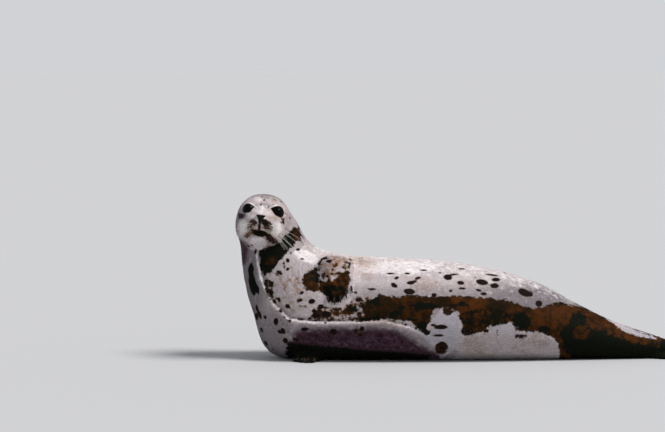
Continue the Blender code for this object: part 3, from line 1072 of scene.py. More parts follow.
@dataclass
class Skin:
    """The one skin over all the flesh."""

    voxel: float = 0.0066
    coat_depth: float = 0.0020
    face_depth: float = 0.0012
    paw_depth: float = 0.0012
    toe_scale: Triple = (2.1, 3.3, 1.4)
    toe_shift: Triple = (-0.009, 0.0, -0.0035)
    foot_low: float = 0.90
    foot_stretch: float = 2.4
    foot_start: tuple[float, float] = (0.70, 0.80)
    foot_thin: tuple[float, float] = (0.80, 0.90)
    eye_swell: float = 1.06
    margin: float = 0.0012
    face_middle: Triple = (0.0, 0.0, -0.040)
    crease: Outline = ((-532, 336), (-517, 255), (-498, 209), (-477, 169), (-431, 123), (-350, 113),
                       (-262, 114), (-138, 117), (-60, 98), (0, 66))
    forms: tuple[Brush, ...] = (
        Brush("inner corner of the eye", (21, -30, 3), (9, 14, 12), -2.2),
        Brush("hollow under the eye", (42, -24, -24), (20, 14, 6), -1.6),
        Brush("brow", (40, -2, 24), (24, 18, 8), 2.2),
        Brush("bridge of the nose", (0, -48, -6), (9, 24, 10), 1.4, False),
        Brush("whisker pad", (21, -72, -53), (16, 20, 17), 4.0),
        Brush("hollow behind the pad", (50, -40, -52), (10, 14, 22), -3.0),
        Brush("cheek", (72, 10, -62), (20, 28, 26), 2.4),
        Brush("chin", (0, -58, -96), (20, 14, 11), 2.6, False),
        Brush("hollow under the chin", (0, -18, -118), (24, 18, 8), -2.0, False),
        Brush("forehead", (0, 10, 38), (9, 30, 14), -1.2, False),
        Brush("side of the nose", (15, -74, -30), (5, 8, 9), 1.6),
        Brush("corner of the mouth", (45, -42, -87), (8, 10, 6), -3.2),
        Brush("lower lip", (0, -70, -84), (18, 12, 4), 1.5, False),
        Brush("ear hole", (81, 24, -4), (3, 4, 3), -3.5),
    )

    def build(self) -> None:
        """Fuse the flesh, refine it where it is delicate, and shape it."""
        self.fuse()
        self.zones = ZoneFinder()
        self.inset()
        self.shape_body()
        self.refine_head()
        self.shape_face()
        self.shape_lids()
        self.settle()
        log.info("skin: %d points", len(self.clay.points))

    def stretch(self, points: Array) -> Array:
        """How far the thin hind flippers are drawn out in height while the flesh is fused."""
        return 1 + self.foot_stretch * smooth(*self.foot_start, points[:, 0])

    def fuse(self) -> None:
        """Join copies of the flesh solids and remesh them as one.

        The hind flippers are drawn out in height meanwhile. The eyes go in a little larger, and each
        hind claw as the fleshy toe that holds its root.
        """
        copies = []
        toes = [node for flipper in FLIPPERS[2:] for node in flipper.claw_nodes()]
        for name in (*FLESH, "nose", "eye_left", "eye_right", *toes):
            copy = solid_copy(f"part_{name}", name)
            clay = Clay(copy)
            middle = clay.points.mean(0)
            if name.startswith("eye"):
                clay.points = middle + (clay.points - middle) * self.eye_swell
            if name in toes:
                clay.points = middle + (clay.points - middle) * self.toe_scale + self.toe_shift
            if name.startswith("hind") and "right" in name:
                clay.points[:, 2] *= self.foot_low
            clay.points[:, 2] *= self.stretch(clay.points)
            clay.write()
            copies.append(copy)
        for copy in copies:
            copy.select_set(True)
        bpy.context.view_layer.objects.active = copies[0]
        bpy.ops.object.join()
        item = bpy.context.active_object
        item.name = item.data.name = "skin"
        pick(item)
        bpy.ops.object.modifier_add(type="REMESH")
        fuse = item.modifiers[-1]
        fuse.mode = "VOXEL"
        fuse.voxel_size = self.voxel
        bpy.ops.object.modifier_apply(modifier=fuse.name)
        self.clay = Clay(item)
        self.drop_crumbs()
        self.clay.relax(smooth(*self.foot_thin, self.clay.points[:, 0]) * 0.4, 6)
        self.clay.points[:, 2] /= self.stretch(self.clay.points)
        self.clay.write()

    def drop_crumbs(self) -> None:
        """Keep the largest connected shell alone."""
        rows = bmesh.new()
        rows.from_mesh(self.clay.item.data)
        waiting, shells = set(rows.verts), []
        while waiting:
            shell = [waiting.pop()]
            for vertex in shell:
                linked = {edge.other_vert(vertex) for edge in vertex.link_edges} & waiting
                waiting -= linked
                shell.extend(linked)
            shells.append(shell)
        shells.sort(key=len)
        bmesh.ops.delete(rows, geom=[v for shell in shells[:-1] for v in shell], context="VERTS")
        rows.to_mesh(self.clay.item.data)
        rows.free()
        self.clay.read()

    def inset(self) -> None:
        """Even out the facets, and draw the skin in by the depth of the coat."""
        clay = self.clay
        zone = self.zones.read(clay.points)
        paw = np.isin(zone, PAWS)
        local = HEAD.local(clay.points)
        eye = np.zeros(len(paw))
        for ball in EYES:
            eye = np.maximum(eye, smooth(0.040, 0.028, norms(clay.points - ball.centre())))
        thin = smooth(*self.foot_thin, clay.points[:, 0])
        clay.relax(np.where(paw, 0.30, 0.5) * (1 - 0.8 * thin), 8)
        clay.relax(eye * 0.5, 16)
        face = smooth(0.04, -0.02, local[:, 1]) * (zone == 0)
        depth = self.coat_depth * (1 - face) + self.face_depth * face
        depth = np.where(paw, self.paw_depth * (1 - 0.8 * smooth(0.90, 0.96, clay.points[:, 0])), depth)
        clay.push(-depth)

    def shape_body(self) -> None:
        """Work the creases, rolls and digits into the body."""
        clay = self.clay
        x, h = CHART.read(clay.points)
        front = smooth(0.25, -0.2, clay.normals[:, 1])
        zone = self.zones.read(clay.points)
        offset, place = along_line(x, h, self.crease)
        held = smooth(0.0, 0.06, place) * smooth(1.0, 0.85, place) * front
        roll = np.clip(offset, 0, None)
        swell = 0.0050 * (roll / 0.016) * np.exp(1 - roll / 0.016)
        amount = held * (swell - 0.0055 * bell(offset / 0.006))
        amount += -0.0060 * front * bell(np.hypot((x + 0.362) / 0.020, (h - 0.255) / 0.030))
        rim, _ = along_line(x, h, ((-300, 312), (-335, 306), (-347, 290), (-346, 240), (-336, 200)))
        amount += -0.0045 * front * bell(rim / 0.005)
        body = ~np.isin(zone, PAWS) & (zone != 0)
        nub = bell(np.hypot((x + 0.230) / 0.014, (h - 0.289) / 0.012))
        cleft = bell(np.hypot((x + 0.248) / 0.004, (h - 0.288) / 0.013))
        amount += front * body * (0.0065 * nub - 0.0035 * cleft)
        uneven = 0.0016 * ripple(clay.points, 0.11, 3.0) + 0.0008 * ripple(clay.points, 0.035, 9.0)
        amount += body * uneven
        clay.push(amount)
        self.mark_digits()

    def mark_digits(self) -> None:
        """Part the digits of each flipper by grooves."""
        clay = self.clay
        zone = self.zones.read(clay.points)
        clay.refine(np.isin(zone, PAWS))
        zone = self.zones.read(clay.points)
        clay.relax(np.isin(zone, PAWS) * 0.4, 2)
        amount = np.zeros(len(zone))
        for flipper, index in zip(FLIPPERS, PAWS):
            mine = zone == index
            share, digit = flipper.read(clay.points)
            ridge = np.cos(digit * math.tau)
            start = 0.45 if index in PAWS[:2] else 0.15
            amount += mine * (0.0013 * ridge - 0.0007) * smooth(start, start + 0.35, share)
        clay.push(amount)

    def refine_head(self) -> None:
        """Make the mesh finer on the face, and finest round eyes, nose and mouth."""
        clay = self.clay
        local = HEAD.local(clay.points)
        clay.refine((norms(local - self.face_middle) < 0.118) & (local[:, 1] < 0.075))
        clay.relax((norms(HEAD.local(clay.points) - self.face_middle) < 0.116) * 0.5, 3)
        x, y, z = HEAD.local(clay.points).T
        clay.refine((np.abs(x) < 0.074) & (y < 0.012) & (np.abs(z + 0.045) < 0.078))
        clay.relax(near_mask(clay, 0.071, 0.008) * 0.5, 3)

    def shape_face(self) -> None:
        """Model muzzle, lips and brow."""
        clay = self.clay
        local = HEAD.local(clay.points)
        on_head = (norms(local - (0, 0.03, -0.04)) < 0.16).astype(float)
        clay.push(sum(brush.amount(local) for brush in self.forms) * on_head)
        local = HEAD.local(clay.points)
        x, y, z = (local / MM).T
        front = smooth(-5, -25, y)
        split = bell(x / 2.2) * smooth(-38, -44, z) * smooth(-74, -68, z)
        lips = z - self.mouth_height(x)
        shut = smooth(48, 38, np.abs(x)) * front
        amount = -2.6 * split * front
        amount += shut * (-5.0 * bell(lips / 2.4) + 1.4 * bell((lips - 6) / 4))
        clay.push(amount * MM)
        clay.relax(near_mask(clay, 0.060, -0.02) * 0.35, 2)

    @staticmethod
    def mouth_height(x: Array) -> Array:
        """Height of the line between the lips, in the head's frame, in millimetres."""
        return -71.5 - 0.0060 * x**2

    def shape_lids(self) -> None:
        """Wrap the lids round the eyeballs and open them."""
        clay = self.clay
        close = np.zeros(len(clay.points), bool)
        for eye in EYES:
            _, _, w, reach = eye.read(clay.points)
            close |= (reach < 1.5) & (w > 0)
        clay.refine(close)
        for eye in EYES:
            u, v, w, reach = eye.read(clay.points)
            mine = (w > -0.002) & (reach < 2.2)
            radial = u**2 + v**2
            lid = np.sqrt(np.clip((eye.radius + 0.0013)**2 - radial, 0, None))
            lid = np.maximum(lid, w - 0.005)
            ball = np.sqrt(np.clip(eye.radius**2 - radial, 0, None))
            hold = smooth(1.75, 1.10, reach) * mine
            target = w + hold * (lid - w)
            crease = 0.0011 * bell((reach - 1.34) / 0.09) * mine
            sunk = smooth(1.03, 0.86, reach) * mine
            target = (target - crease) * (1 - sunk) + (ball - 0.006) * sunk
            clay.points += (target - w)[:, None] * eye.axes()[2] * mine[:, None]
        clay.write()
        ring = np.zeros(len(clay.points))
        for eye in EYES:
            _, _, w, reach = eye.read(clay.points)
            ring = np.maximum(ring, smooth(1.35, 1.60, reach) * smooth(3.0, 2.4, reach) * (w > -0.01))
        clay.relax(ring * 0.5, 10)

    def settle(self) -> None:
        """Keep the skin over the floor and inside the box of the solids."""
        clay = self.clay
        clay.points = within_box(clay.points, self.margin)
        clay.write()
        clay.item.data.shade_smooth()


def within_box(points: Array, margin: float) -> Array:
    """Places moved into the box of the solids, a margin in metres inside it."""
    return np.clip(points, np.array(CAD_LOW) + margin, np.array(CAD_HIGH) - margin)


def near_mask(clay: Clay, reach: float, depth: float) -> Array:
    """Pick out the middle of the face.

    Args:
        clay: The skin.
        reach: How far it goes to each side, in metres.
        depth: How far it goes back.

    Returns:
        1 on the middle of the face, 0 elsewhere.
    """
    x, y, z = HEAD.local(clay.points).T
    return ((np.abs(x) < reach) & (y < depth) & (np.abs(z + 0.045) < 0.075)).astype(float)


# ---- markings
UNMARKED = -3.0  # level of a field where it has no mark, in centimetres inside the mark's edge
FULL = 1.5  # usual cap of a level
TURNED_AWAY = 4.5  # what a mark loses where the skin turns away from its chart
SPOT_SPAN, SPOT_EDGE, SPOT_REACH = 1.5, 60.0, 0.06  # how a placed spot ends round its place
TIP_SHARES = np.array((0.0, 0.0, 0.2, 1.0))  # how much each corner of a tuft takes from its tip

THROAT: Outline = (
    (-524, 330), (-516, 335), (-499, 343), (-484, 348), (-474, 353), (-460, 359), (-454, 370),
    (-445, 379), (-435, 389), (-422, 402), (-412, 405), (-400, 401), (-396, 386), (-394, 375),
    (-387, 366), (-393, 361), (-406, 360), (-413, 351), (-429, 335), (-449, 314), (-464, 295),
    (-477, 275), (-502, 256), (-507, 240), (-514, 251), (-522, 273), (-525, 303),
)
THROAT_GLOW = (Spot(-488, 300, 17, 13, 20), Spot(-408, 384, 12, 19, -20), Spot(-398, 366, 9, 5, -30))
FRINGE: Outline = (
    (-513, 237), (-502, 240), (-481, 232), (-487, 218), (-478, 217), (-487, 202), (-481, 185),
    (-471, 174), (-476, 164), (-491, 185), (-499, 207), (-507, 224),
)
BLOTCH: Outline = (
    (-548, 296), (-541, 276), (-543, 262), (-535, 232), (-525, 215), (-526, 192), (-535, 202),
    (-539, 189), (-548, 196), (-555, 215), (-559, 235), (-558, 251), (-561, 273), (-555, 289),
)
# Nape on the side away from the light, laid purple-grey as painted shade.
NAPE: Outline = (
    (-640, 384), (-592, 373), (-574, 364), (-562, 349), (-556, 335), (-560, 322), (-562, 298),
    (-572, 284), (-584, 275), (-640, 290),
)
ARMPIT: Outline = (
    (-346, 283), (-384, 260), (-400, 240), (-390, 228), (-388, 212), (-366, 204), (-340, 202),
    (-340, 251),
)
# Deepest part of the armpit, darkened as painted shade.
ARMPIT_DEEP: Outline = ((-336, 290), (-366, 270), (-370, 248), (-358, 236), (-336, 232))
PALM_RUST: Outline = (
    (-345, 240), (-323, 236), (-304, 240), (-287, 251), (-276, 270), (-263, 267), (-247, 265),
    (-245, 240), (-252, 202), (-278, 170), (-309, 168), (-322, 193), (-345, 210),
)
PALM_BLACK: Outline = (
    (-334, 222), (-301, 225), (-274, 229), (-256, 226), (-258, 202), (-280, 174), (-307, 172),
    (-321, 197), (-334, 210),
)
PALM_TAN: Outline = (
    (-301, 312), (-265, 312), (-245, 284), (-265, 262), (-287, 251), (-312, 240), (-318, 251),
    (-301, 270),
)
# Edge of the left fore flipper against the flank, drawn as a dark line of painted shadow.
PALM_EDGE: Outline = (
    (-305, 312), (-331, 305), (-344, 288), (-345, 262), (-342, 240), (-338, 215), (-318, 191),
)
MOTTLE: Outline = (
    (-362, 147), (-337, 160), (-307, 155), (-265, 155), (-246, 171), (-210, 185), (-180, 185),
    (-180, 112), (-307, 117), (-362, 121),
)
BAND: Outline = (
    (-210, 160), (-182, 180), (-151, 196), (-92, 186), (-82, 194), (-46, 194), (1, 191), (64, 191),
    (126, 189), (178, 186), (230, 181), (272, 168), (303, 155), (339, 155), (360, 163), (391, 171),
    (428, 165), (480, 155), (532, 129), (599, 82), (723, 51), (723, -32), (397, -32), (397, 41),
    (376, 61), (339, 77), (298, 80), (261, 82), (251, 108), (220, 103), (199, 98), (178, 98), (168, 80),
    (126, 72), (100, 72), (95, 113), (87, 134), (79, 147), (32, 155), (12, 145), (1, 113), (-14, 72),
    (-40, 93), (-61, 108), (-117, 118), (-200, 117),
)
HIND: Outline = (
    (412, 22), (402, 50), (391, 72), (428, 113), (433, 139), (459, 150), (485, 134), (485, 103),
    (511, 87), (547, 82), (584, 67), (625, 48), (792, 35), (870, -32), (452, -32), (430, 6),
)
PATCH: Outline = (
    (1, 108), (14, 134), (32, 155), (48, 158), (79, 147), (87, 134), (95, 113), (95, 82), (103, 64),
    (79, 25), (64, 9), (32, -11), (19, 15), (-9, 46), (-35, 67), (-43, 80), (-38, 93), (-14, 72), (4, 82),
)
# Pale strip low on the belly, greyed as painted shade.
STRIP: Outline = (
    (95, 64), (178, 64), (186, 95), (220, 102), (248, 109), (267, 72), (303, 80), (345, 72), (376, 56),
    (408, 34), (440, -32), (74, -32), (74, 20),
)
RIM: Outline = (
    (500, 136), (547, 108), (594, 74), (640, 56), (723, 42), (896, 26), (896, 60), (723, 84), (532, 160),
)
# Bottom of the roll by the floor, laid near black as painted shade.
ROLL_LOW: Outline = (
    (-443, 49), (-400, 45), (-323, 37), (-200, 26), (-92, 18), (0, 9), (6, -37), (-443, -37),
)
# Lower roll below the crease, purple-grey: painted shade and wet, dirty fur.
ROLL: Outline = (
    (-418, 83), (-385, 92), (-308, 97), (-178, 97), (-108, 92), (-62, 68), (-15, 37), (31, 18), (62, -12),
    (-443, -12), (-440, 46), (-425, 68),
)


def spots(*rows: tuple[float, ...]) -> tuple[Spot, ...]:
    """One spot for each row of its values."""
    return tuple(Spot(*row) for row in rows)


BLACK_MARKS = spots(
    (-334, 158, 9, 6), (-356, 143, 9, 8), (-320, 133, 13, 12), (-344, 130, 17, 6), (-230, 149, 16, 13),
    (-169, 174, 20, 14), (-86, 156, 14, 8), (-17, 160, 44, 14, 3), (100, 165, 18, 9), (69, 163, 16, 6),
    (282, 113, 31, 30), (12, 194, 8, 6), (-25, 98, 21, 13), (-9, 76, 14, 12), (116, 82, 21, 15),
    (282, 67, 18, 7), (207, 82, 5, 15), (168, 77, 5, 7), (404, 165, 9, 6), (524, 119, 8, 5),
    (-110, 135, 26, 12), (-60, 118, 20, 8), (350, 90, 22, 12), (-160, 130, 14, 8),
)
RUST_MARKS = spots(
    (-469, 259, 15, 9, 30), (-382, 226, 9, 7), (36, 31, 22, 22), (55, 143, 19, 16), (-219, 180, 11, 9),
    (-210, 163, 13, 15), (-252, 141, 20, 14), (-450, 290, 5, 6), (-496, 205, 9, 26, 12),
    (-290, 136, 24, 9), (-345, 138, 16, 12), (-468, 180, 6, 12, 25),
)
PAD_MARKS = spots(
    (19, -42, 17, 11, -12), (27, -54, 13, 9, -10), (-3, -54, 5, 16), (40, -88, 17, 9, -14),
)
FLANK_SPOTS = spots(
    (-180, 212, 12, 4), (-229, 201, 5, 5, 30), (-221, 178, 9, 7, 10), (-103, 246, 7, 5, 20),
    (-110, 223, 12, 7, -35), (-70, 260, 8, 3), (-60, 231, 11, 6, 4), (-49, 235, 9, 4, 20),
    (-37, 246, 9, 4, 15), (-63, 204, 17, 9, -5), (-112, 186, 6, 4), (18, 233, 3, 3),
    (55, 248, 13, 9, -5), (74, 257, 12, 3), (97, 274, 9, 2.5), (95, 231, 11, 6, -8), (99, 214, 11, 4),
    (64, 206, 6, 5), (12, 193, 8, 7), (160, 233, 18, 9, -12), (138, 248, 4, 3), (203, 241, 13, 6),
    (199, 222, 13, 8), (192, 255, 18, 3, -8), (150, 208, 10, 4, -15), (165, 197, 9, 5),
    (264, 256, 22, 4, 5), (290, 201, 20, 11, -25), (308, 196, 9, 8, -10), (312, 204, 5, 3),
    (335, 167, 11, 10, -10), (403, 167, 8, 5, -30), (-120, 260, 14, 2.5), (-20, 270, 10, 2.5),
    (30, 262, 5, 2.5), (230, 262, 6, 2.5), (36, 31, 9, 9), (55, 143, 7, 6), (29, 92, 15, 4),
    (26, 70, 8, 3), (10, 101, 8, 4), (115, 82, 10, 8), (172, 83, 9, 6), (206, 83, 3, 8),
    (282, 68, 9, 5), (140, 84, 5, 7),
)
CHEST_SPOTS = spots(
    (-543, 151, 4, 6, -60), (-533, 155, 4, 9), (-534, 127, 6, 12), (-525, 135, 5, 15, 20),
    (-507, 125, 6, 6), (-474, 112, 7, 12), (-451, 104, 3, 3), (-462, 81, 8, 6, -20), (-453, 86, 7, 7),
    (-450, 78, 6, 5), (-518, 86, 4, 8, 20), (-505, 45, 5, 8, 30), (-483, 25, 4, 5, 20),
    (-432, 113, 7, 5), (-448, 126, 4, 5), (-460, 144, 5, 7, 30), (-445, 53, 8, 9, 20),
    (-412, 57, 12, 5, -15), (-385, 88, 14, 6, 5), (-436, 81, 3, 4), (-322, 108, 5, 4),
    (-298, 113, 3, 3), (-297, 80, 13, 10), (-230, 82, 6, 8), (-209, 89, 8, 9), (-214, 71, 8, 6, -20),
    (-439, 159, 8, 7), (-429, 151, 3, 3), (-401, 177, 11, 5, 20), (-399, 160, 5, 4), (-384, 158, 5, 4),
    (-394, 200, 9, 5, 40), (-364, 174, 11, 8, 20), (-438, 273, 7, 5, 30), (-438, 300, 6, 7),
    (-449, 280, 3, 5), (-394, 305, 5, 3), (-429, 324, 4, 5), (-406, 334, 6, 5), (-411, 244, 3, 3),
    (-311, 298, 9, 5, 5), (-303, 258, 5, 4), (-356, 144, 8, 8), (-335, 158, 9, 8), (-300, 272, 4, 4),
    (-351, 130, 14, 8), (-320, 134, 16, 11), (-397, 119, 12, 4), (-368, 121, 8, 4), (-559, 345, 6, 5),
    (-548, 347, 5, 5), (-537, 327, 4, 9, -5),
)
FACE_SPOTS = spots(
    (-1, 36, 4, 5), (-8, 20, 3, 7), (15, 13, 3, 6), (49, 38, 6, 4, -30), (29, 24, 4, 3), (68, 1, 3, 4),
    (81, -9, 4, 5), (64, -19, 6, 5), (60, -30, 5, 4), (74, -46, 3, 3), (86, -52, 4, 3), (58, -69, 3, 3),
    (-10, 46, 4, 3), (80, 22, 3, 6), (30, 42, 8, 2, -25), (-66, -2, 3, 4),
)


class Mark(Enum):
    """Kinds of mark. A mesh holds one field of each."""

    SPOT = "spot"
    MOLE = "mole"
    RUST = "rust"
    BLACK = "black"
    # purple-grey: painted shade, and wet, dirty fur on the roll
    GRIME = "grime"
    # painted light, and pale coat
    PALE = "pale"
    PATCH = "patch"
    TAN = "tan"
    # mostly painted shade, and greyer coat on the brow
    GREY = "grey"
    INK = "ink"


@dataclass(frozen=True)
class Stain:
    """A mark with its form on a chart. Its level is scaled, lifted and capped, in centimetres."""

    kind: Mark
    form: Outline | Spot
    gain: float = 1.0
    lift: float = 0.0
    cap: float = FULL

    def level(self, across: Array, up: Array) -> Array:
        """Level at chart places, before the cap."""
        raw = self.form.level(across, up) if isinstance(self.form, Spot) else inside(across, up, self.form)
        return raw * self.gain + self.lift


def stains(kind: Mark, forms: Sequence[Spot], gain: float = 1.0, lift: float = 0.0,
           cap: float = FULL) -> tuple[Stain, ...]:
    """Stains of one kind, one for each spot."""
    return tuple(Stain(kind, form, gain, lift, cap) for form in forms)


TRUNK_STAINS = (
    Stain(Mark.RUST, BAND),
    Stain(Mark.RUST, ARMPIT),
    Stain(Mark.RUST, FRINGE, 1.0, 0.2, 0.5),
    Stain(Mark.RUST, MOTTLE, 1.0, 0.1, 0.16),
    Stain(Mark.TAN, MOTTLE, 1.0, 0.2, 0.35),
    Stain(Mark.TAN, Spot(-425, 190, 48, 66), 0.1, -0.14, 0.0),
    Stain(Mark.TAN, Spot(-212, 296, 42, 13, -12), 0.3, 0.0, 0.16),
    *stains(Mark.TAN, spots((534, 107, 16, 9, -20), (566, 89, 32, 6, -27)), 0.4, 0.0, 0.45),
    # Purple-grey over the roll below the crease: painted shade and wet, dirty fur.
    Stain(Mark.GRIME, ROLL, 0.8, 0.0, 2.0),
    # Painted shade deep in the armpit, over its rust.
    Stain(Mark.BLACK, ARMPIT_DEEP, 0.6, 0.1, 0.28),
    Stain(Mark.BLACK, Spot(173, 124, 78, 30), cap=0.12),
    *stains(Mark.BLACK, BLACK_MARKS, 1.0, -0.05),
    *stains(Mark.RUST, RUST_MARKS),
    *stains(Mark.SPOT, spots((35, 95, 21, 7), (25, 69, 16, 4))),
    # Painted shade: grey over the pale strip low on the belly.
    Stain(Mark.GREY, STRIP, 1.0, 0.2, 0.30),
    Stain(Mark.PATCH, Spot(225, 88, 42, 14, 5), cap=0.15),
    # The next two: painted light on the shoulder and along the top of the flank.
    Stain(Mark.PALE, Spot(-380, 312, 52, 20, -24), 0.5, 0.0, 0.4),
    Stain(Mark.PALE, Spot(-90, 278, 150, 26), 0.3, 0.0, 0.3),
    Stain(Mark.PALE, Spot(-230, 290, 17, 13), 0.6),
)
HAND_STAINS = (
    Stain(Mark.RUST, PALM_RUST),
    # Brown edge of the painted shadow in the cleft beside the nub.
    Stain(Mark.RUST, Spot(-248, 287, 4, 12, -12), 1.0, 0.1),
    *stains(Mark.RUST, spots((-291, 285, 8, 7), (-266, 270, 15, 9, -20), (-283, 261, 9, 6),
                             (-262, 289, 7, 6), (-330, 262, 7, 12), (-306, 296, 12, 4),
                             (-322, 246, 14, 8)), cap=0.2),
    Stain(Mark.BLACK, PALM_BLACK, 0.8, 0.0, 0.34),
    # Painted shadow: black in the cleft beside the nub.
    Stain(Mark.BLACK, Spot(-248, 285, 3, 7, -12), 1.0, 0.1),
    Stain(Mark.TAN, PALM_TAN, 1.0, 0.1, 0.32),
    Stain(Mark.TAN, Spot(-300, 284, 46, 34), 0.3, 0.0, 0.12),
    Stain(Mark.GREY, Spot(-318, 280, 40, 40), 0.3, 0.0, 0.42),
)
FAR_PAD = spots((-22, -43, 13, 12, -30), (-31, -58, 9, 16, -12))
MUZZLE_STAINS = (
    Stain(Mark.TAN, Spot(-24, -58, 19, 17), 0.5, 0.0, 0.3),
    Stain(Mark.TAN, Spot(18, -60, 18, 14), 0.4, 0.0, 0.2),
    *stains(Mark.RUST, PAD_MARKS, 1.0, 0.12, 0.7),
    *stains(Mark.MOLE, FAR_PAD, 0.5, 0.0, 0.14),
    *stains(Mark.RUST, FAR_PAD, 0.6, -0.1, 0.24),
)
FRONT_STAINS = (
    *stains(Mark.BLACK, spots((19, -40, 12, 7, -15), (-3, -42, 3, 6)), 0.6, 0.0, 0.15),
    Stain(Mark.GREY, Spot(5, 16, 26, 14), 0.6, 0.2, 0.62),
)
# Pale chin and thin pale lines beside the nose, then painted light on the bridge, forehead, brows and both
# cheeks.
FACE_PALE_AND_PAINTED_LIGHT = (
    *stains(Mark.PALE, spots((-3, -101, 28, 17), (-13, -30, 2, 13, -12), (11, -31, 2, 13, 16))),
    *stains(Mark.PALE, spots((-4, 3, 16, 12), (-2, -8, 34, 9), (-34, -22, 20, 12), (-20, 36, 16, 10),
                             (-54, -52, 18, 22), (50, -50, 20, 24), (38, 20, 18, 6, -20)), 0.35, 0.0, 0.3),
)


class Fields:
    """The level of every kind of mark at a set of places on the skin."""

    def __init__(self, points: Array, normals: Array, zone: Array) -> None:
        """Start with no marks.

        Args:
            points: Places, one per row.
            normals: The skin's normals there.
            zone: Index in ZONES there.
        """
        self.points, self.zone = points, zone
        self.x, self.h = CHART.read(points)
        self.local = HEAD.local(points)
        self.facing, self.upward = normals[:, 1], normals[:, 2]
        self.back = TURNED_AWAY * smooth(0.05, 0.50, self.facing)
        self.wavy = points[:, 1] + 0.022 * ripple(points, 0.045, 5.0)
        self.head = zone == ZONES.index(Zone.HEAD)
        self.flesh = ~np.isin(zone, PAWS)
        self.trunk = self.flesh & ~self.head
        self.levels = {kind: np.full(len(points), UNMARKED) for kind in Mark}

    def add(self, kind: Mark, level: Array, where: Array, fade: Array | float = 0.0,
            cap: Array | float = FULL) -> None:
        """Lay a mark over the others of its kind.

        Args:
            kind: The kind of mark.
            level: Its level at each place.
            where: Which places it may reach.
            fade: What is taken off the capped level.
            cap: Its highest level.
        """
        laid = np.where(where, np.minimum(level, cap) - fade, UNMARKED)
        self.levels[kind] = np.maximum(self.levels[kind], laid)

    def stain(self, group: Sequence[Stain], where: Array, fade: Array | float = 0.0) -> None:
        """Lay stains of the side chart."""
        for one in group:
            self.add(one.kind, one.level(self.x, self.h), where, fade, one.cap)

    def stain_face(self, group: Sequence[Stain], where: Array) -> None:
        """Lay stains of the face, drawn as seen from its front."""
        for one in group:
            self.add(one.kind, one.level(self.local[:, 0], self.local[:, 2]), where, 0.0, one.cap)


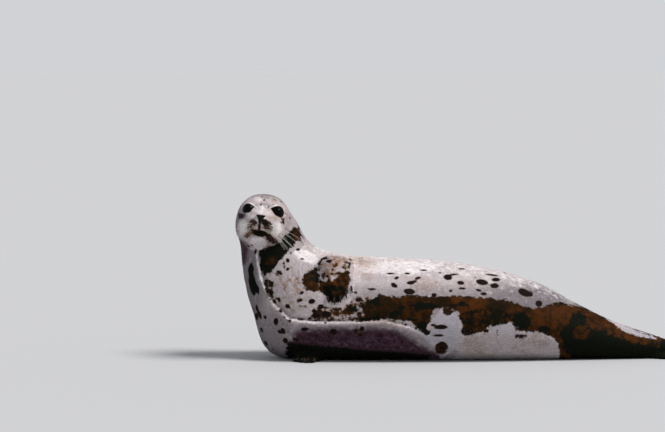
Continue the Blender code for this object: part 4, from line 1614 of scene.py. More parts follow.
@dataclass
class Markings:
    """All marks of the coat, laid on the skin."""

    tree: BVHTree
    scattered: list[tuple[Array, float, float, Array]] = field(init=False)
    tries: int = 2600
    gap: float = 0.021
    smallest: float = 0.004
    largest: float = 0.011

    def __post_init__(self) -> None:
        """Choose the places of the scattered spots."""
        self.scattered = self.scatter()
        log.info("scattered spots: %d", len(self.scattered))

    def paint(self, mesh: Mesh, points: Array, normals: Array, zone: Array,
              tips: Array | None = None) -> None:
        """Work out every field at the given places and store it in a mesh.

        Args:
            mesh: Mesh that takes the fields.
            points: Places, one per row: the mesh's points, or the roots of its tufts.
            normals: Skin normals there.
            zone: Index in ZONES there.
            tips: The tips of the tufts, where the mesh is made of tufts.
        """
        levels = self.levels(points, normals, zone)
        if tips is not None:
            far = self.levels(tips, normals, zone)
            levels = {kind: (near[:, None] * (1 - TIP_SHARES) + far[kind][:, None] * TIP_SHARES).ravel()
                      for kind, near in levels.items()}
        for kind, values in levels.items():
            number(mesh, kind.value, np.clip(values, UNMARKED, -UNMARKED))

    def levels(self, points: Array, normals: Array, zone: Array) -> dict[Mark, Array]:
        """Levels of all marks at the given places.

        Args:
            points: Places, one per row.
            normals: Skin normals there.
            zone: Index in ZONES there.

        Returns:
            Each kind's level, in centimetres inside the edge of its marks.
        """
        f = Fields(points, normals, zone)
        anywhere = np.ones(len(points), bool)
        for spot in FLANK_SPOTS + CHEST_SPOTS:
            way = CHART.ray(spot.across * MM, spot.up * MM)
            self.drop(f, Mark.SPOT, spot, CHART.eye(), way, spot.level(f.x, f.h), anywhere)
        for spot in FACE_SPOTS:
            start = HEAD.ahead(spot.across, spot.up)
            level = spot.level(f.local[:, 0], f.local[:, 2])
            self.drop(f, Mark.MOLE, spot, start, HEAD.axes[1], level, f.head)
        for paint in (self.paint_throat, self.paint_trunk, self.paint_hand, self.paint_tail,
                      self.paint_shade, self.paint_mouth, self.paint_face, self.paint_hidden):
            paint(f)
        return f.levels

    def drop(self, f: Fields, kind: Mark, spot: Spot, start: Array, way: Array, level: Array,
             where: Array) -> None:
        """Lay a spot where a ray first meets the skin, and nowhere behind.

        Args:
            f: The fields.
            kind: The kind of mark.
            spot: The spot.
            start: Where the ray starts.
            way: Its direction.
            level: The spot's level on its chart.
            where: Which places it may reach.
        """
        hit = self.tree.ray_cast(Vector(start), Vector(way))[0]
        if hit is None:
            return
        reach = norms(f.points - np.array(hit))
        ball = (max(spot.wide, spot.tall) * SPOT_SPAN * MM - reach) * SPOT_EDGE
        f.add(kind, np.minimum(level, ball), where & (reach < SPOT_REACH))

    def paint_throat(self, f: Fields) -> None:
        """Painted shade over the throat's rust, left off where the rust glows, blotch on the chest, and
        painted shade on the nape.

        Args:
            f: The fields.
        """
        below = f.flesh & (f.facing < 0.2)
        deep = throat = inside(f.x, f.h, THROAT)
        for glow in THROAT_GLOW:
            deep = np.minimum(deep, -glow.level(f.x, f.h) * 0.8)
        f.add(Mark.RUST, throat - 0.1, below)
        # Painted shade: near black over the throat's rust, left off where the rust glows through.
        f.add(Mark.BLACK, deep, below)
        f.add(Mark.INK, inside(f.x, f.h, BLOTCH), f.trunk, 4 * smooth(-0.03, 0.01, f.wavy))
        # Painted shade: purple-grey on the nape, fading towards the back.
        nape = inside(f.x, f.h, NAPE) * 1.2 + 0.2 - 4 * smooth(-0.02, 0.05, f.wavy)
        f.add(Mark.GRIME, nape, f.flesh & (f.points[:, 2] < 0.40))

    def paint_trunk(self, f: Fields) -> None:
        """Rust band, pale patch with its holes, and painted light and shade on the fold over the belly: a
        highlight on the roll, a dark line in the crease, grey over the roll and near black at its bottom.

        Args:
            f: The fields.
        """
        x, h, trunk, back = f.x, f.h, f.trunk, f.back
        f.stain(TRUNK_STAINS, trunk, back)
        holes = np.maximum(Spot(36, 31, 20, 20).level(x, h), Spot(57, 145, 17, 14).level(x, h))
        f.add(Mark.PATCH, np.minimum(inside(x, h, PATCH) - 0.4, -holes), trunk, back)
        # Painted shade: near black along the bottom of the roll, by the floor.
        f.add(Mark.BLACK, inside(x, h, ROLL_LOW) * 0.7, trunk, back * 0.6)
        offset, place = along_line(x, h, Skin.crease)
        # Painted highlight along the top of the roll, just below the crease.
        rim = (0.0048 - np.abs(offset - 0.0056)) * 100 - 0.30 * smooth(0.40, 0.55, place)
        f.add(Mark.PALE, rim, trunk & (place > 0.01) & (place < 0.97), back)
        # Painted shade: greyer down over the roll.
        rim = (offset * 100 - 0.35) * smooth(0.35, 0.45, place)
        f.add(Mark.GREY, rim, trunk & (offset < 0.10), back, 0.65)
        # Painted shade: a dark line in the crease.
        rim = (0.0026 - np.abs(offset + 0.0015)) * 100
        f.add(Mark.BLACK, rim, trunk & (place > 0.42) & (place < 0.98), back)

    def paint_hand(self, f: Fields) -> None:
        """Stains on and round the left fore flipper, painted shadow along its edge and in the cleft beside
        it, and the colour of the others.

        Args:
            f: The fields.
        """
        near = f.trunk & (np.hypot(f.x + 0.295, f.h - 0.245) < 0.095) | (f.zone == PAWS[0])
        f.stain(HAND_STAINS, near, f.back)
        # Painted shadow: a dark line along the flipper's edge against the flank, weaker at both ends.
        edge, run = along_line(f.x, f.h, PALM_EDGE)
        weak = 0.5 * (smooth(0.12, 0.0, run) + smooth(0.5, 0.9, run))
        f.add(Mark.BLACK, (0.0046 - np.abs(edge)) * 100 - weak, near, f.back)
        others = np.isin(f.zone, PAWS[1:])
        f.add(Mark.RUST, np.full(len(f.x), 0.7), others)
        f.add(Mark.BLACK, np.full(len(f.x), 0.42) + 0.45 * smooth(0.62, 0.72, f.x), others)

    def paint_tail(self, f: Fields) -> None:
        """Rust and black towards the tail, and its pale upper rim.

        Args:
            f: The fields.
        """
        x, h, z, trunk = f.x, f.h, f.points[:, 2], f.trunk
        hind = np.minimum(inside(x, h, HIND) * 0.5, -Spot(467, 77, 22, 17).level(x, h) * 0.6)
        f.add(Mark.BLACK, hind, trunk & (x > 0.36), f.back * 0.5)
        rim = inside(x, h, RIM) - 0.8 - 3 * smooth(-0.04, 0.01, f.wavy)
        f.add(Mark.PATCH, rim, trunk & (x > 0.48) & (z > 0.04), f.back * 0.6, 0.24)
        rust = smooth(0.46, 0.66, x + 0.07 * ripple(f.points, 0.085, 2.0))
        f.add(Mark.RUST, rust * 1.8 - 0.9 - 1.4 * smooth(0.06, 0.13, z), trunk)
        black = smooth(0.58, 0.74, x + 0.04 * ripple(f.points, 0.06, 7.0))
        f.add(Mark.BLACK, black * 1.6 - 0.8 - smooth(0.02, 0.07, z), trunk)

    def paint_shade(self, f: Fields) -> None:
        """Greyer and paler areas of the ground colour: painted shade low on the flank, towards the tail
        and on the chest, painted light where the skin faces up, and grey on the side turned away from the
        front.

        Args:
            f: The fields.
        """
        x, h = f.x, f.h
        # Painted shade: greyer low on the flank and towards the tail.
        shaded = 0.56 * smooth(0.258, 0.195, h) + 0.42 * smooth(0.05, 0.32, x)
        f.add(Mark.GREY, shaded, f.trunk & (x > -0.24) & (h > 0.12), f.back)
        # Painted light: paler where the skin faces up.
        f.add(Mark.PALE, 0.26 * smooth(0.55, 1.0, f.upward) - 0.13, f.trunk & (x < 0.45))
        nearness = smooth(0.09, 0.02, f.local[:, 1]) * f.head
        f.add(Mark.GREY, 0.50 * smooth(-0.2, 0.9, f.facing) + 0.2 - 0.3 * nearness, f.flesh)
        # Painted shade low on the chest and down its front.
        f.add(Mark.GREY, smooth(0.24, 0.08, h) * smooth(-0.36, -0.47, x) * 0.7 + 0.1, f.trunk)
        f.add(Mark.GREY, 0.9 * smooth(-0.47, -0.54, x), f.trunk)

    def paint_mouth(self, f: Fields) -> None:
        """Dark line of the mouth in a band of brown that droops to one side.

        Args:
            f: The fields.
        """
        muzzle = f.head & (f.local[:, 1] < -0.012)
        mm = f.local[:, 0] / MM
        lips = f.local[:, 2] / MM - Skin.mouth_height(mm)
        drop = 1.0 + 4.5 * smooth(12, 30, mm)
        half = 8.2 + 1.8 * bell((mm + 2) / 14) + smooth(14, 30, mm)
        half = half - smooth(-14, -26, mm) - 6.0 * smooth(38, 52, np.abs(mm))
        core = 1.2 + 5.2 * bell((mm + 2) / 15)
        f.add(Mark.INK, (core - np.abs(lips - 0.6)) / 10, muzzle & (mm > -40) & (mm < 42))
        under = core - 0.5 + 1.5 * smooth(10, 24, mm) - np.abs(lips + drop * 0.7)
        f.add(Mark.BLACK, under / 10, muzzle, 0.0, 0.12)
        band = (half - np.abs(lips + drop)) / 6
        most = 0.8 - 0.78 * smooth(-8, -20, mm) - 0.5 * smooth(26, 36, mm)
        f.add(Mark.RUST, band, muzzle & (np.abs(mm) < 54), 0.0, most)
        f.add(Mark.TAN, band + 0.1, muzzle & (mm > -54) & (mm < -8), 0.0, 0.6)
        f.add(Mark.MOLE, band, muzzle & (mm > 26) & (mm < 54), 0.0, 0.1)
        f.stain_face(MUZZLE_STAINS, muzzle)

    def paint_face(self, f: Fields) -> None:
        """Marks of brow and cheeks, painted light on the face's front, painted shade down the head's sides
        and on its right cheek, and the lids' dark margins in their pale rings.

        Args:
            f: The fields.
        """
        x, y, z = f.local.T
        front = f.head & (y < 0.05)
        f.stain_face(FRONT_STAINS, front)
        # Pale chin, and painted light on the front of the face.
        f.stain_face(FACE_PALE_AND_PAINTED_LIGHT, front & (f.facing < 0.2))
        f.stain_face((Stain(Mark.RUST, Spot(65, -23, 5, 9, 10), 0.8, 0.0, 0.5),), f.head)
        trail = 4 * smooth(0.004, 0.05, y + 0.010 * np.sin(z / 0.006))
        cheek = f.head & (y > -0.04)
        # Painted shade: a dark purple-grey patch with a black core on the head's right cheek, fading
        # backwards.
        f.add(Mark.GRIME, Spot(-72, -21, 20, 10).level(x, z) * 2.0 + 0.6, cheek, trail)
        f.add(Mark.BLACK, Spot(-75, -23, 13, 7).level(x, z), cheek, trail, 0.15)
        f.add(Mark.GREY, smooth(0.025, 0.070, z) * 0.9 + smooth(0.06, 0.14, y) * 0.4, f.head)
        # Painted shade down both sides of the head, stronger on its right.
        f.add(Mark.GREY, smooth(-0.058, -0.080, x) * 0.7, f.head)
        f.add(Mark.GREY, smooth(0.060, 0.085, x) * 0.35, f.head)
        for eye in EYES:
            _, _, w, reach = eye.read(f.points)
            near = f.head & (w > -0.004)
            f.add(Mark.INK, (eye.margin - reach) * 1.6, near)
            below = 1 - smooth(-0.012, 0.012, z)
            f.add(Mark.PALE, 0.30 - np.abs(reach - 1.40) * 1.3 - 0.35 * below, near)

    def paint_hidden(self, f: Fields) -> None:
        """Lay the scattered spots over the back, the far flank and the rest of the unseen skin.

        Args:
            f: The fields.
        """
        way = LINE.read(f.points)[2]
        for place, wide, tall, normal in self.scattered:
            offset = f.points - place
            near = norms(offset) < 0.05
            if not near.any():
                continue
            side = np.cross(normal, way[near].mean(0))
            side /= np.linalg.norm(side)
            ahead = np.cross(side, normal)
            u, v = offset @ ahead / wide, offset @ side / tall
            f.add(Mark.SPOT, (1 - np.hypot(u, v)) * min(wide, tall) * 100, near)

    def scatter(self) -> list[tuple[Array, float, float, Array]]:
        """Choose places for the scattered spots.

        Returns:
            Middle, half length, half width and normal of each.
        """
        rng = np.random.default_rng(SEED)
        kept: list[tuple[Array, float, float, Array]] = []
        for _ in range(self.tries):
            way = unit(rng.normal(size=3))
            start = (rng.uniform(-0.58, 0.66), rng.uniform(-0.02, 0.04), rng.uniform(0.05, 0.47))
            hit, normal, _, _ = self.tree.ray_cast(Vector(start), Vector(way))
            if hit is None or normal.dot(Vector(way)) < 0:
                continue
            if normal.y < 0.10 and not (normal.z > 0.80 and hit.y > 0.01):
                continue
            size = rng.uniform(self.smallest, self.largest) * (1.15 if hit.x > -0.4 else 0.75)
            shape = rng.uniform(0.7, 1.5)
            place = np.array(hit)
            if all(np.linalg.norm(place - k[0]) > self.gap + size + k[1] for k in kept):
                kept.append((place, size * shape, size / shape, np.array(normal)))
        return kept


# ---- coat
@dataclass(frozen=True)
class TuftSize:
    """Length, width and rise of a tuft, and how many times over the tufts cover the skin."""

    length: float
    width: float
    rise: float
    cover: float


@dataclass
class Coat:
    """The solid tufts over one part of the skin."""

    name: str
    zones: tuple[Zone, ...]
    size: TuftSize
    side: int = 0
    margin: float = 0.0004

    def grow(self, clay: Clay, markings: Markings, zone: Array, material: Material,
             rng: np.random.Generator) -> None:
        """Grow the tufts.

        Args:
            clay: The skin.
            markings: The coat's marks.
            zone: Zone of each face of the skin.
            material: The coat's finish.
            rng: Source of chance.
        """
        corners, faces = triangles(clay.item.data)
        chosen = np.isin(zone[faces], [ZONES.index(z) for z in self.zones])
        chosen &= clay.points[corners][:, :, 1].mean(1) * self.side >= 0
        corners, faces = corners[chosen], faces[chosen]
        a, b, c = (clay.points[corners[:, k]] for k in range(3))
        area = norms(np.cross(b - a, c - a)) / 2
        middle = (a + b + c) / 3
        small = self.shrink(middle)
        scale = self.size.length * self.size.width / 2
        expected = area * self.size.cover / scale / small**2 * self.keep(middle)
        total = np.cumsum(expected)
        marks = np.arange(int(total[-1])) + rng.uniform(0, 1, int(total[-1]))
        picked = np.minimum(np.searchsorted(total, marks), len(total) - 1)
        r1, r2 = rng.uniform(size=(2, len(picked)))
        root1 = np.sqrt(r1)
        weights = np.stack([1 - root1, root1 * (1 - r2), root1 * r2], 1)
        places = sum(clay.points[corners[picked, k]] * weights[:, k:k + 1] for k in range(3))
        normals = unit(sum(clay.normals[corners[picked, k]] * weights[:, k:k + 1] for k in range(3)))
        keep = self.keep(places) > 0.5
        places, normals, picked = places[keep], normals[keep], picked[keep]
        kind = zone[faces[picked]]
        item, tips = self.model(places, normals, self.shrink(places), kind, rng)
        markings.paint(item.data, places, normals, kind, tips)
        finish_piece(item, material)

    @staticmethod
    def keep(places: Array) -> Array:
        """Tell where hair grows.

        Args:
            places: Places, one per row.

        Returns:
            1 where it grows, 0 on the eyes, the nose and the lips' edge.
        """
        local = HEAD.local(places)
        x, y, z = (local / MM).T
        grows = np.ones(len(places))
        for eye in EYES:
            _, _, w, reach = eye.read(places)
            grows *= 1 - ((reach < 1.13) & (w > -0.004))
        nose = ((x / 15.0)**2 + ((z + 31) / 13.5)**2 < 1) & (y < -55)
        lips = (np.abs(z - Skin.mouth_height(x)) < 1.6) & (np.abs(x) < 42) & (y < -25)
        return grows * (1 - nose) * (1 - lips)

    @staticmethod
    def shrink(places: Array) -> Array:
        """How small the tufts are beside those of the trunk."""
        away = norms(HEAD.local(places) - (0, -0.08, -0.045))
        return 0.36 + 0.64 * smooth(0.03, 0.26, away)

    @staticmethod
    def lie(places: Array, kind: Array) -> Array:
        """The way the coat lies, from nose to tail and down the digits.

        Args:
            places: Roots of the tufts.
            kind: Index in ZONES of each.

        Returns:
            The way at each.
        """
        _, _, way = LINE.read(places)
        local = HEAD.local(places)
        spread = unit(HEAD.world_way(local - (0, -0.088, -0.032)))
        hold = smooth(0.24, 0.14, norms(local - (0, 0.02, -0.04)))[:, None]
        way = unit(way * (1 - hold) + spread * hold)
        for flipper, index in zip(FLIPPERS, PAWS):
            down = unit(flipper.end - flipper.root)
            way = np.where((kind == index)[:, None], down, way)
        return way

    def model(self, places: Array, normals: Array, small: Array, kind: Array,
              rng: np.random.Generator) -> tuple[Object, Array]:
        """Make one slim solid wedge at each place, lying along the coat.

        Args:
            places: Roots of the tufts.
            normals: The skin's normals there.
            small: Size of each tuft beside those of the trunk.
            kind: Index in ZONES of each root.
            rng: Source of chance.

        Returns:
            The object and the tips of its tufts.
        """
        count = len(places)
        way = self.lie(places, kind)
        way = unit(way - normals * dots(way, normals)[:, None])
        side = np.cross(normals, way)
        turn = rng.normal(0, 0.16, count)[:, None]
        way, side = way * np.cos(turn) + side * np.sin(turn), side * np.cos(turn) - way * np.sin(turn)
        length = (self.size.length * small * rng.uniform(0.75, 1.25, count))[:, None]
        width = (self.size.width * small * rng.uniform(0.8, 1.2, count))[:, None]
        rise = (self.size.rise * small * rng.uniform(0.55, 1.0, count))[:, None]
        root = places - normals * width * 0.25
        points = np.stack([
            root - side * width / 2,
            root + side * width / 2,
            root + normals * width * 0.55 + way * length * 0.18,
            places + way * length + normals * rise,
        ], 1)
        points = within_box(points, self.margin)
        item = mesh_of(self.name, points.reshape(-1, 3), self.corners(count))
        tone = np.repeat(rng.uniform(0.84, 1.16, count), 4) * np.tile((0.92, 0.92, 1.0, 1.08), count)
        number(item.data, "tone", tone)
        self.unwrap(item.data, places, kind)
        return item, points[:, 3]

    @staticmethod
    def corners(count: int) -> Array:
        """Corner indices of the four faces of every tuft."""
        wedge = np.array(((0, 2, 1), (0, 3, 2), (1, 2, 3), (0, 1, 3)))
        return (wedge[None] + 4 * np.arange(count)[:, None, None]).reshape(-1, 3)

    def unwrap(self, mesh: Mesh, places: Array, kind: Array) -> None:
        """Give every tuft a small patch at its root's place on the skin's own unwrap.

        Args:
            mesh: The tufts.
            places: Their roots.
            kind: Index in ZONES of each.
        """
        u, v = self.unrolled(places, kind)
        patch = np.array(((-0.0015, -0.0015), (-0.0015, 0.0015), (-0.0005, 0.0), (0.0015, 0.0)))
        spots = np.stack([u, v], 1)[:, None, :] + patch[None]
        layer = mesh.uv_layers.new(name="OFBake")
        loops = spots.reshape(-1, 2)[self.corners(len(places)).ravel()]
        layer.data.foreach_set("uv", loops.astype(np.float32).ravel())

    def unrolled(self, places: Array, kind: Array) -> tuple[Array, Array]:
        """Unroll the skin: by length and angle on the trunk, as a disc about the nose on the head.

        Args:
            places: Roots of the tufts.
            kind: Index in ZONES of each.

        Returns:
            Both coordinates on the unwrap, 0 to 1.
        """
        if self.zones[0] is Zone.HEAD:
            local = unit(HEAD.local(places) - (0, 0.035, -0.040))
            reach = np.arccos(np.clip(-local[:, 1], -1, 1)) / math.pi
            turn = np.arctan2(local[:, 2], local[:, 0])
            return 0.5 + 0.48 * reach * np.cos(turn), 0.5 + 0.48 * reach * np.sin(turn)
        if ZONES.index(self.zones[0]) in PAWS:
            u, v = np.zeros(len(places)), np.zeros(len(places))
            for order, zone in enumerate(self.zones):
                flipper = FLIPPERS[PAWS.index(ZONES.index(zone))]
                mine = kind == ZONES.index(zone)
                share, digit = flipper.read(places)
                plane = unit(np.cross(flipper.tips[-1] - flipper.tips[0], flipper.end - flipper.root))
                over = ((places - (flipper.end + flipper.root) / 2) @ plane) > 0
                u = np.where(mine, 0.03 + 0.42 * np.clip((share + 0.3) / 1.5, 0, 1) + 0.5 * order, u)
                v = np.where(mine, 0.03 + 0.42 * np.clip((digit + 1) / 6, 0, 1) + 0.5 * over, v)
            return u, v
        length, angle, _ = LINE.read(places)
        low, high = length.min(), length.max()
        return 0.02 + 0.96 * (length - low) / (high - low), 0.5 + 0.96 * angle / math.tau


def triangles(mesh: Mesh) -> tuple[Array, Array]:
    """Take a mesh's triangles.

    Args:
        mesh: The mesh.

    Returns:
        The corners of each, and the face that it is part of.
    """
    mesh.calc_loop_triangles()
    rows = mesh.loop_triangles
    return fetch(rows, "vertices", 3, np.int32), fetch(rows, "polygon_index", 1, np.int32)[:, 0]


def mesh_of(name: str, points: Array, faces: Array) -> Object:
    """Make an object of equal-sided faces.

    Args:
        name: Name of the object.
        points: Its points.
        faces: The corners of each face.

    Returns:
        The object.
    """
    mesh = bpy.data.meshes.new(name)
    sides = faces.shape[1]
    mesh.vertices.add(len(points))
    mesh.vertices.foreach_set("co", points.astype(np.float32).ravel())
    mesh.loops.add(faces.size)
    mesh.loops.foreach_set("vertex_index", faces.astype(np.int32).ravel())
    mesh.polygons.add(len(faces))
    mesh.polygons.foreach_set("loop_start", np.arange(0, faces.size, sides, dtype=np.int32))
    mesh.update(calc_edges=True)
    mesh.shade_smooth()
    return new_object(name, mesh)


TRUNK_TUFT = TuftSize(0.0095, 0.0019, 0.0010, 1.25)
HEAD_TUFT = TuftSize(0.0095, 0.0021, 0.0013, 1.4)
PAW_TUFT = TuftSize(0.0062, 0.0017, 0.0008, 1.2)
COATS = (
    Coat("coat_head", (Zone.HEAD,), HEAD_TUFT),
    Coat("coat_neck", (Zone.NECK,), TRUNK_TUFT),
    Coat("coat_chest", (Zone.CHEST,), TRUNK_TUFT),
    Coat("coat_flank_right", (Zone.BELLY,), TRUNK_TUFT, -1),
    Coat("coat_flank_left", (Zone.BELLY,), TRUNK_TUFT, 1),
    Coat("coat_hindquarters", (Zone.HIPS, Zone.TAIL), TRUNK_TUFT),
    Coat("coat_hands", (Zone.HAND_LEFT, Zone.HAND_RIGHT), PAW_TUFT),
    Coat("coat_feet", (Zone.FOOT_LEFT, Zone.FOOT_RIGHT), PAW_TUFT),
)


# ---- nose, claws, whiskers
@dataclass(frozen=True)
class NosePad:
    """The bare pad with its two slit nostrils."""

    levels: tuple[float, ...] = (-12.5, -8.0, -3.0, 2.0, 5.5, 8.0, 10.5)
    widths: tuple[float, ...] = (3.6, 5.4, 7.4, 9.4, 12.6, 15.8, 17.0)
    depth: float = 10.0
    centre: Triple = (-1.0, -78.5, -28.5)

    def make(self) -> None:
        """Model the pad."""
        bpy.ops.object.select_all(action="DESELECT")
        bpy.ops.mesh.primitive_uv_sphere_add(segments=64, ring_count=40, radius=1.0)
        pad = bpy.context.active_object
        pad.name = pad.data.name = "nose_pad"
        clay = Clay(pad)
        x, y, z = clay.points.T
        ring = np.maximum(np.hypot(x, y), 1e-6)
        round_off = (1 - np.abs(z)**5 * 0.999)**0.2
        height = np.where(z > 0, np.abs(z)**1.5 * 10.5, z * 12.5)
        width = np.interp(height, self.levels, self.widths)
        local = np.stack([x / ring * width * round_off, y / ring * self.depth * round_off, height], 1)
        clay.points = local
        clay.write()
        slit = np.abs(np.abs(local[:, 0]) - (5.2 + 0.36 * local[:, 2]))
        ends = smooth(8.5, 6.0, np.abs(local[:, 2] + 0.5))
        dent = -2.2 * bell(slit) * ends * (local[:, 1] < -1)
        split = -bell(local[:, 0] / 0.9) * smooth(0, -3, local[:, 2]) * (local[:, 1] < 0)
        wing = 0.5 * bell((slit - 2.2) / 1.2) * ends * (local[:, 1] < -1)
        clay.push(dent + split + wing)
        clay.points = HEAD.world((clay.points + np.array(self.centre)) * MM)
        clay.write()
        pad.data.shade_smooth()
        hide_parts("nose")
        finish_piece(pad, NoseFinish().make())


@dataclass(frozen=True)
class Claws:
    """The claws of all four flippers, each a bent, ridged cone."""

    sides: int = 14
    steps: int = 7
    bend: float = 0.30
    fit: Triple = (0.98, 0.80, 1.0)

    def pattern(self) -> Object:
        """Model one claw of unit length along +X that bends down.

        Returns:
            The claw.
        """
        bpy.ops.object.select_all(action="DESELECT")
        bpy.ops.mesh.primitive_circle_add(vertices=self.sides, radius=0.5, fill_type="NGON",
                                          rotation=(0, math.pi / 2, 0))
        claw = bpy.context.active_object
        pick(claw)
        bpy.ops.object.transform_apply(location=True, rotation=True, scale=True)
        bpy.ops.object.mode_set(mode="EDIT")
        bpy.ops.mesh.select_all(action="SELECT")
        for step in range(self.steps):
            share = (step + 1) / self.steps
            before = step / self.steps
            drop = -self.bend * (share**2 - before**2)
            grow = math.sqrt(max(1 - share**1.8, 0.004)) / math.sqrt(max(1 - before**1.8, 0.004))
            bpy.ops.mesh.extrude_region_move(TRANSFORM_OT_translate={"value": (1 / self.steps, 0, drop)})
            bpy.ops.transform.resize(value=(1.0, grow, grow),
                                     center_override=(share, 0, -self.bend * share**2))
        bpy.ops.mesh.select_all(action="SELECT")
        bpy.ops.mesh.normals_make_consistent(inside=False)
        bpy.ops.object.mode_set(mode="OBJECT")
        return claw

    def make(self, material: Material) -> None:
        """Set one claw at each claw node.

        Args:
            material: Their finish.
        """
        pattern = self.pattern()
        for flipper in FLIPPERS:
            for node in flipper.claw_nodes():
                self.place(pattern, node, flipper, material)
        bpy.data.objects.remove(pattern)

    def place(self, pattern: Object, node: str, flipper: Flipper, material: Material) -> None:
        """Copy the claw onto one node's place, pointing as the node does.

        Args:
            pattern: The claw of unit length.
            node: The CAD node.
            flipper: The flipper it belongs to.
            material: Its finish.
        """
        corners = np.array([v.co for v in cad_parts[node].data.vertices])
        middle = corners.mean(0)
        spread = corners - middle
        axis = np.linalg.svd(spread, full_matrices=False)[2][0]
        out = unit(flipper.end - flipper.root)
        axis = axis * np.sign(axis @ out)
        along = spread @ axis
        length = along.max() - along.min()
        root = middle + axis * along.min()
        thick = norms(spread - np.outer(along, axis)).max() * 2
        plane = unit(np.cross(flipper.tips[-1] - flipper.tips[0], out))
        plane = plane * (1 if "left" in node and "fore" in node and plane[1] < 0 or plane[2] > 0 else -1)
        up = unit(plane - axis * (plane @ axis))
        across = np.cross(up, axis)
        item = new_object(node.replace("claw", "horn"), pattern.data.copy())
        clay = Clay(item)
        scaled = clay.points * np.array((length, thick, thick)) * self.fit
        clay.points = root + scaled @ np.stack([axis, across, up])
        clay.write()
        item.data.shade_smooth()
        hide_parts(node)
        finish_piece(item, material)


@dataclass(frozen=True)
class Whiskers:
    """Whiskers of the pads and brows: joined tapering tubes."""

    rows: int = 4
    per_row: int = 4
    sides: int = 5
    steps: int = 9
    root_width: float = 0.00058

    def make(self, tree: BVHTree) -> None:
        """Model all whiskers as one piece.

        Args:
            tree: The skin.
        """
        rng = np.random.default_rng(SEED + 5)
        points, faces = [], []
        for side in (1, -1):
            for row in range(self.rows):
                for order in range(self.per_row):
                    x = (25 + 5.5 * order + 2.0 * (row % 2)) * side
                    z = -45 - 6.5 * row - 1.2 * order
                    length = (0.034 + 0.014 * order + 0.004 * row) * rng.uniform(0.8, 1.2)
                    length *= 0.95 if side > 0 else 0.55
                    sweep = np.array((side * (0.80 + 0.10 * order), -0.30 + 0.10 * order,
                                      -0.24 - 0.15 * row + rng.normal(0, 0.06)))
                    self.add(points, faces, tree, (x, z), sweep, length, 0.22, self.root_width)
            for order in range(3):
                sweep = np.array((side * (0.06 + 0.08 * order), -0.5, 0.85))
                self.add(points, faces, tree, ((31 + 7 * order) * side, 22 + order), sweep,
                         0.020 * rng.uniform(0.7, 1.2), 0.1, 0.0005)
        item = mesh_of("whiskers", np.array(points), np.array(faces))
        finish_piece(item, WhiskerFinish().make())

    def add(self, points: list, faces: list, tree: BVHTree, place: tuple[float, float], sweep: Array,
            length: float, sag: float, width: float) -> None:
        """Add one whisker.

        Args:
            points: All points so far.
            faces: All faces so far.
            tree: The skin.
            place: Where it grows on the face, in the head's frame, in millimetres.
            sweep: Its way out, in the head's frame.
            length: Its length in metres.
            sag: How much it bends down and back.
            width: Its thickness at the root.
        """
        hit = tree.ray_cast(Vector(HEAD.ahead(*place)), Vector(HEAD.axes[1]))[0]
        if hit is None:
            return
        way = unit(HEAD.world_way(sweep))
        drop = np.array((0.0, 0.35, -1.0)) * sag
        cross = unit(np.cross(way, np.array((0.1, 0.2, 1.0))))
        base = len(points)
        for step in range(self.steps):
            share = step / (self.steps - 1)
            centre = np.array(hit) + (way * (share * length - 0.002) + drop * length * share**2)
            tangent = unit(way + drop * 2 * share)
            up = unit(np.cross(cross, tangent))
            radius = width / 2 * (1 - share)**0.6 + 0.00012
            for corner in range(self.sides):
                turn = math.tau * corner / self.sides
                points.append(centre + (cross * math.cos(turn) + up * math.sin(turn)) * radius)
        for step in range(self.steps - 1):
            for corner in range(self.sides):
                a = base + step * self.sides + corner
                b = base + step * self.sides + (corner + 1) % self.sides
                faces += [(a, b, b + self.sides), (a, b + self.sides, a + self.sides)]
        for first, turned in ((base, True), (base + (self.steps - 1) * self.sides, False)):
            for corner in range(1, self.sides - 1):
                fan = (first, first + corner, first + corner + 1)
                faces.append(fan[::-1] if turned else fan)


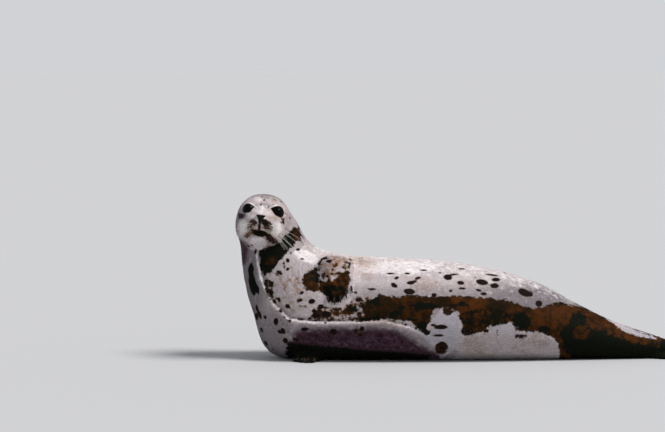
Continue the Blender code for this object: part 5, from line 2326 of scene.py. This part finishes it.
# ---- studio
@dataclass(frozen=True)
class Studio:
    """Plain floor, soft lights and the camera."""

    view_width: float = 2.046
    floor_side: float = 600.0
    horizon: float = 0.655
    zenith: float = 0.38
    sun: float = 3.35
    sun_spread: float = 24.0
    sun_colour: Triple = (1.0, 0.975, 0.95)
    sky_colour: Triple = (0.965, 0.985, 1.02)
    sun_from: Triple = (0.50, -0.26, 0.83)

    def make(self) -> None:
        """Set all up."""
        bpy.ops.object.select_all(action="DESELECT")
        bpy.ops.mesh.primitive_plane_add(size=self.floor_side)
        floor = bpy.context.active_object
        floor.name = "studio_floor"
        floor.data.materials.append(FloorFinish().make())
        self.hang_sun()
        self.light_sky()
        camera = bpy.data.cameras.new("camera")
        camera.lens = camera.sensor_width * CHART.distance / self.view_width
        item = new_object("camera", camera)
        item.location = CHART.eye()
        item.rotation_euler = (math.radians(90 - CHART.rise), 0, 0)
        bpy.context.scene.camera = item
        bpy.context.scene.view_settings.view_transform = "Standard"

    def hang_sun(self) -> None:
        """Hang one broad soft light high up on the right."""
        lamp = bpy.data.lights.new("key", "SUN")
        lamp.energy = self.sun
        lamp.angle = math.radians(self.sun_spread)
        lamp.color = self.sun_colour
        item = new_object("key", lamp)
        item.rotation_euler = Vector(self.sun_from).to_track_quat("Z", "Y").to_euler()

    def light_sky(self) -> None:
        """Light the room evenly, a little brighter near the horizon."""
        world = bpy.data.worlds.new("studio")
        world.use_nodes = True
        tree = world.node_tree
        place = tree.nodes.new("ShaderNodeTexCoord").outputs["Generated"]
        split = tree.nodes.new("ShaderNodeSeparateXYZ")
        tree.links.new(place, split.inputs[0])
        rise = Wire(tree, split.outputs["Z"]).step(0.10, 0.75)
        strength = rise * (self.zenith - self.horizon) + self.horizon
        sky = tree.nodes["Background"]
        sky.inputs["Color"].default_value = (*self.sky_colour, 1.0)
        tree.links.new(strength.socket, sky.inputs["Strength"])
        bpy.context.scene.world = world


# ---- the whole
STRANDS_ALONG, STRANDS_ROUND = 130, 105  # lumps of the skin's grain in a metre, and in a radian round it


def face_zones(clay: Clay, finder: ZoneFinder) -> Array:
    """Zone of each face of the skin."""
    return finder.read(fetch(clay.item.data.polygons, "center", 3))


def dress_skin(clay: Clay, markings: Markings, finder: ZoneFinder) -> None:
    """Paint the skin and hand it over as the flesh.

    Args:
        clay: The skin.
        markings: The coat's marks.
        finder: Finds the zones.
    """
    mesh = clay.item.data
    markings.paint(mesh, clay.points, clay.normals, finder.read(clay.points))
    length, angle, _ = LINE.read(clay.points)
    lie = np.stack([length * STRANDS_ALONG, angle * STRANDS_ROUND, np.zeros(len(length))], 1)
    layer = mesh.attributes.new("lie", "FLOAT_VECTOR", "POINT")
    layer.data.foreach_set("vector", lie.astype(np.float32).ravel())
    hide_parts(*FLESH)
    finish_piece(clay.item, CoatFinish(CoatLayer.SKIN).make())


def main() -> None:
    logging.basicConfig(level=logging.INFO, format="%(relativeCreated)d %(message)s")
    Studio().make()
    skin = Skin()
    skin.build()
    clay = skin.clay
    markings = Markings(clay.tree())
    zone = face_zones(clay, skin.zones)
    dress_skin(clay, markings, skin.zones)
    rng = np.random.default_rng(SEED)
    coat = CoatFinish(CoatLayer.TUFTS).make()
    for part in COATS:
        part.grow(clay, markings, zone, coat, rng)
    for eye in EYES:
        eye.make()
    NosePad().make()
    Claws().make(HornFinish().make())
    Whiskers().make(markings.tree)


if __name__ == "__main__":
    main()
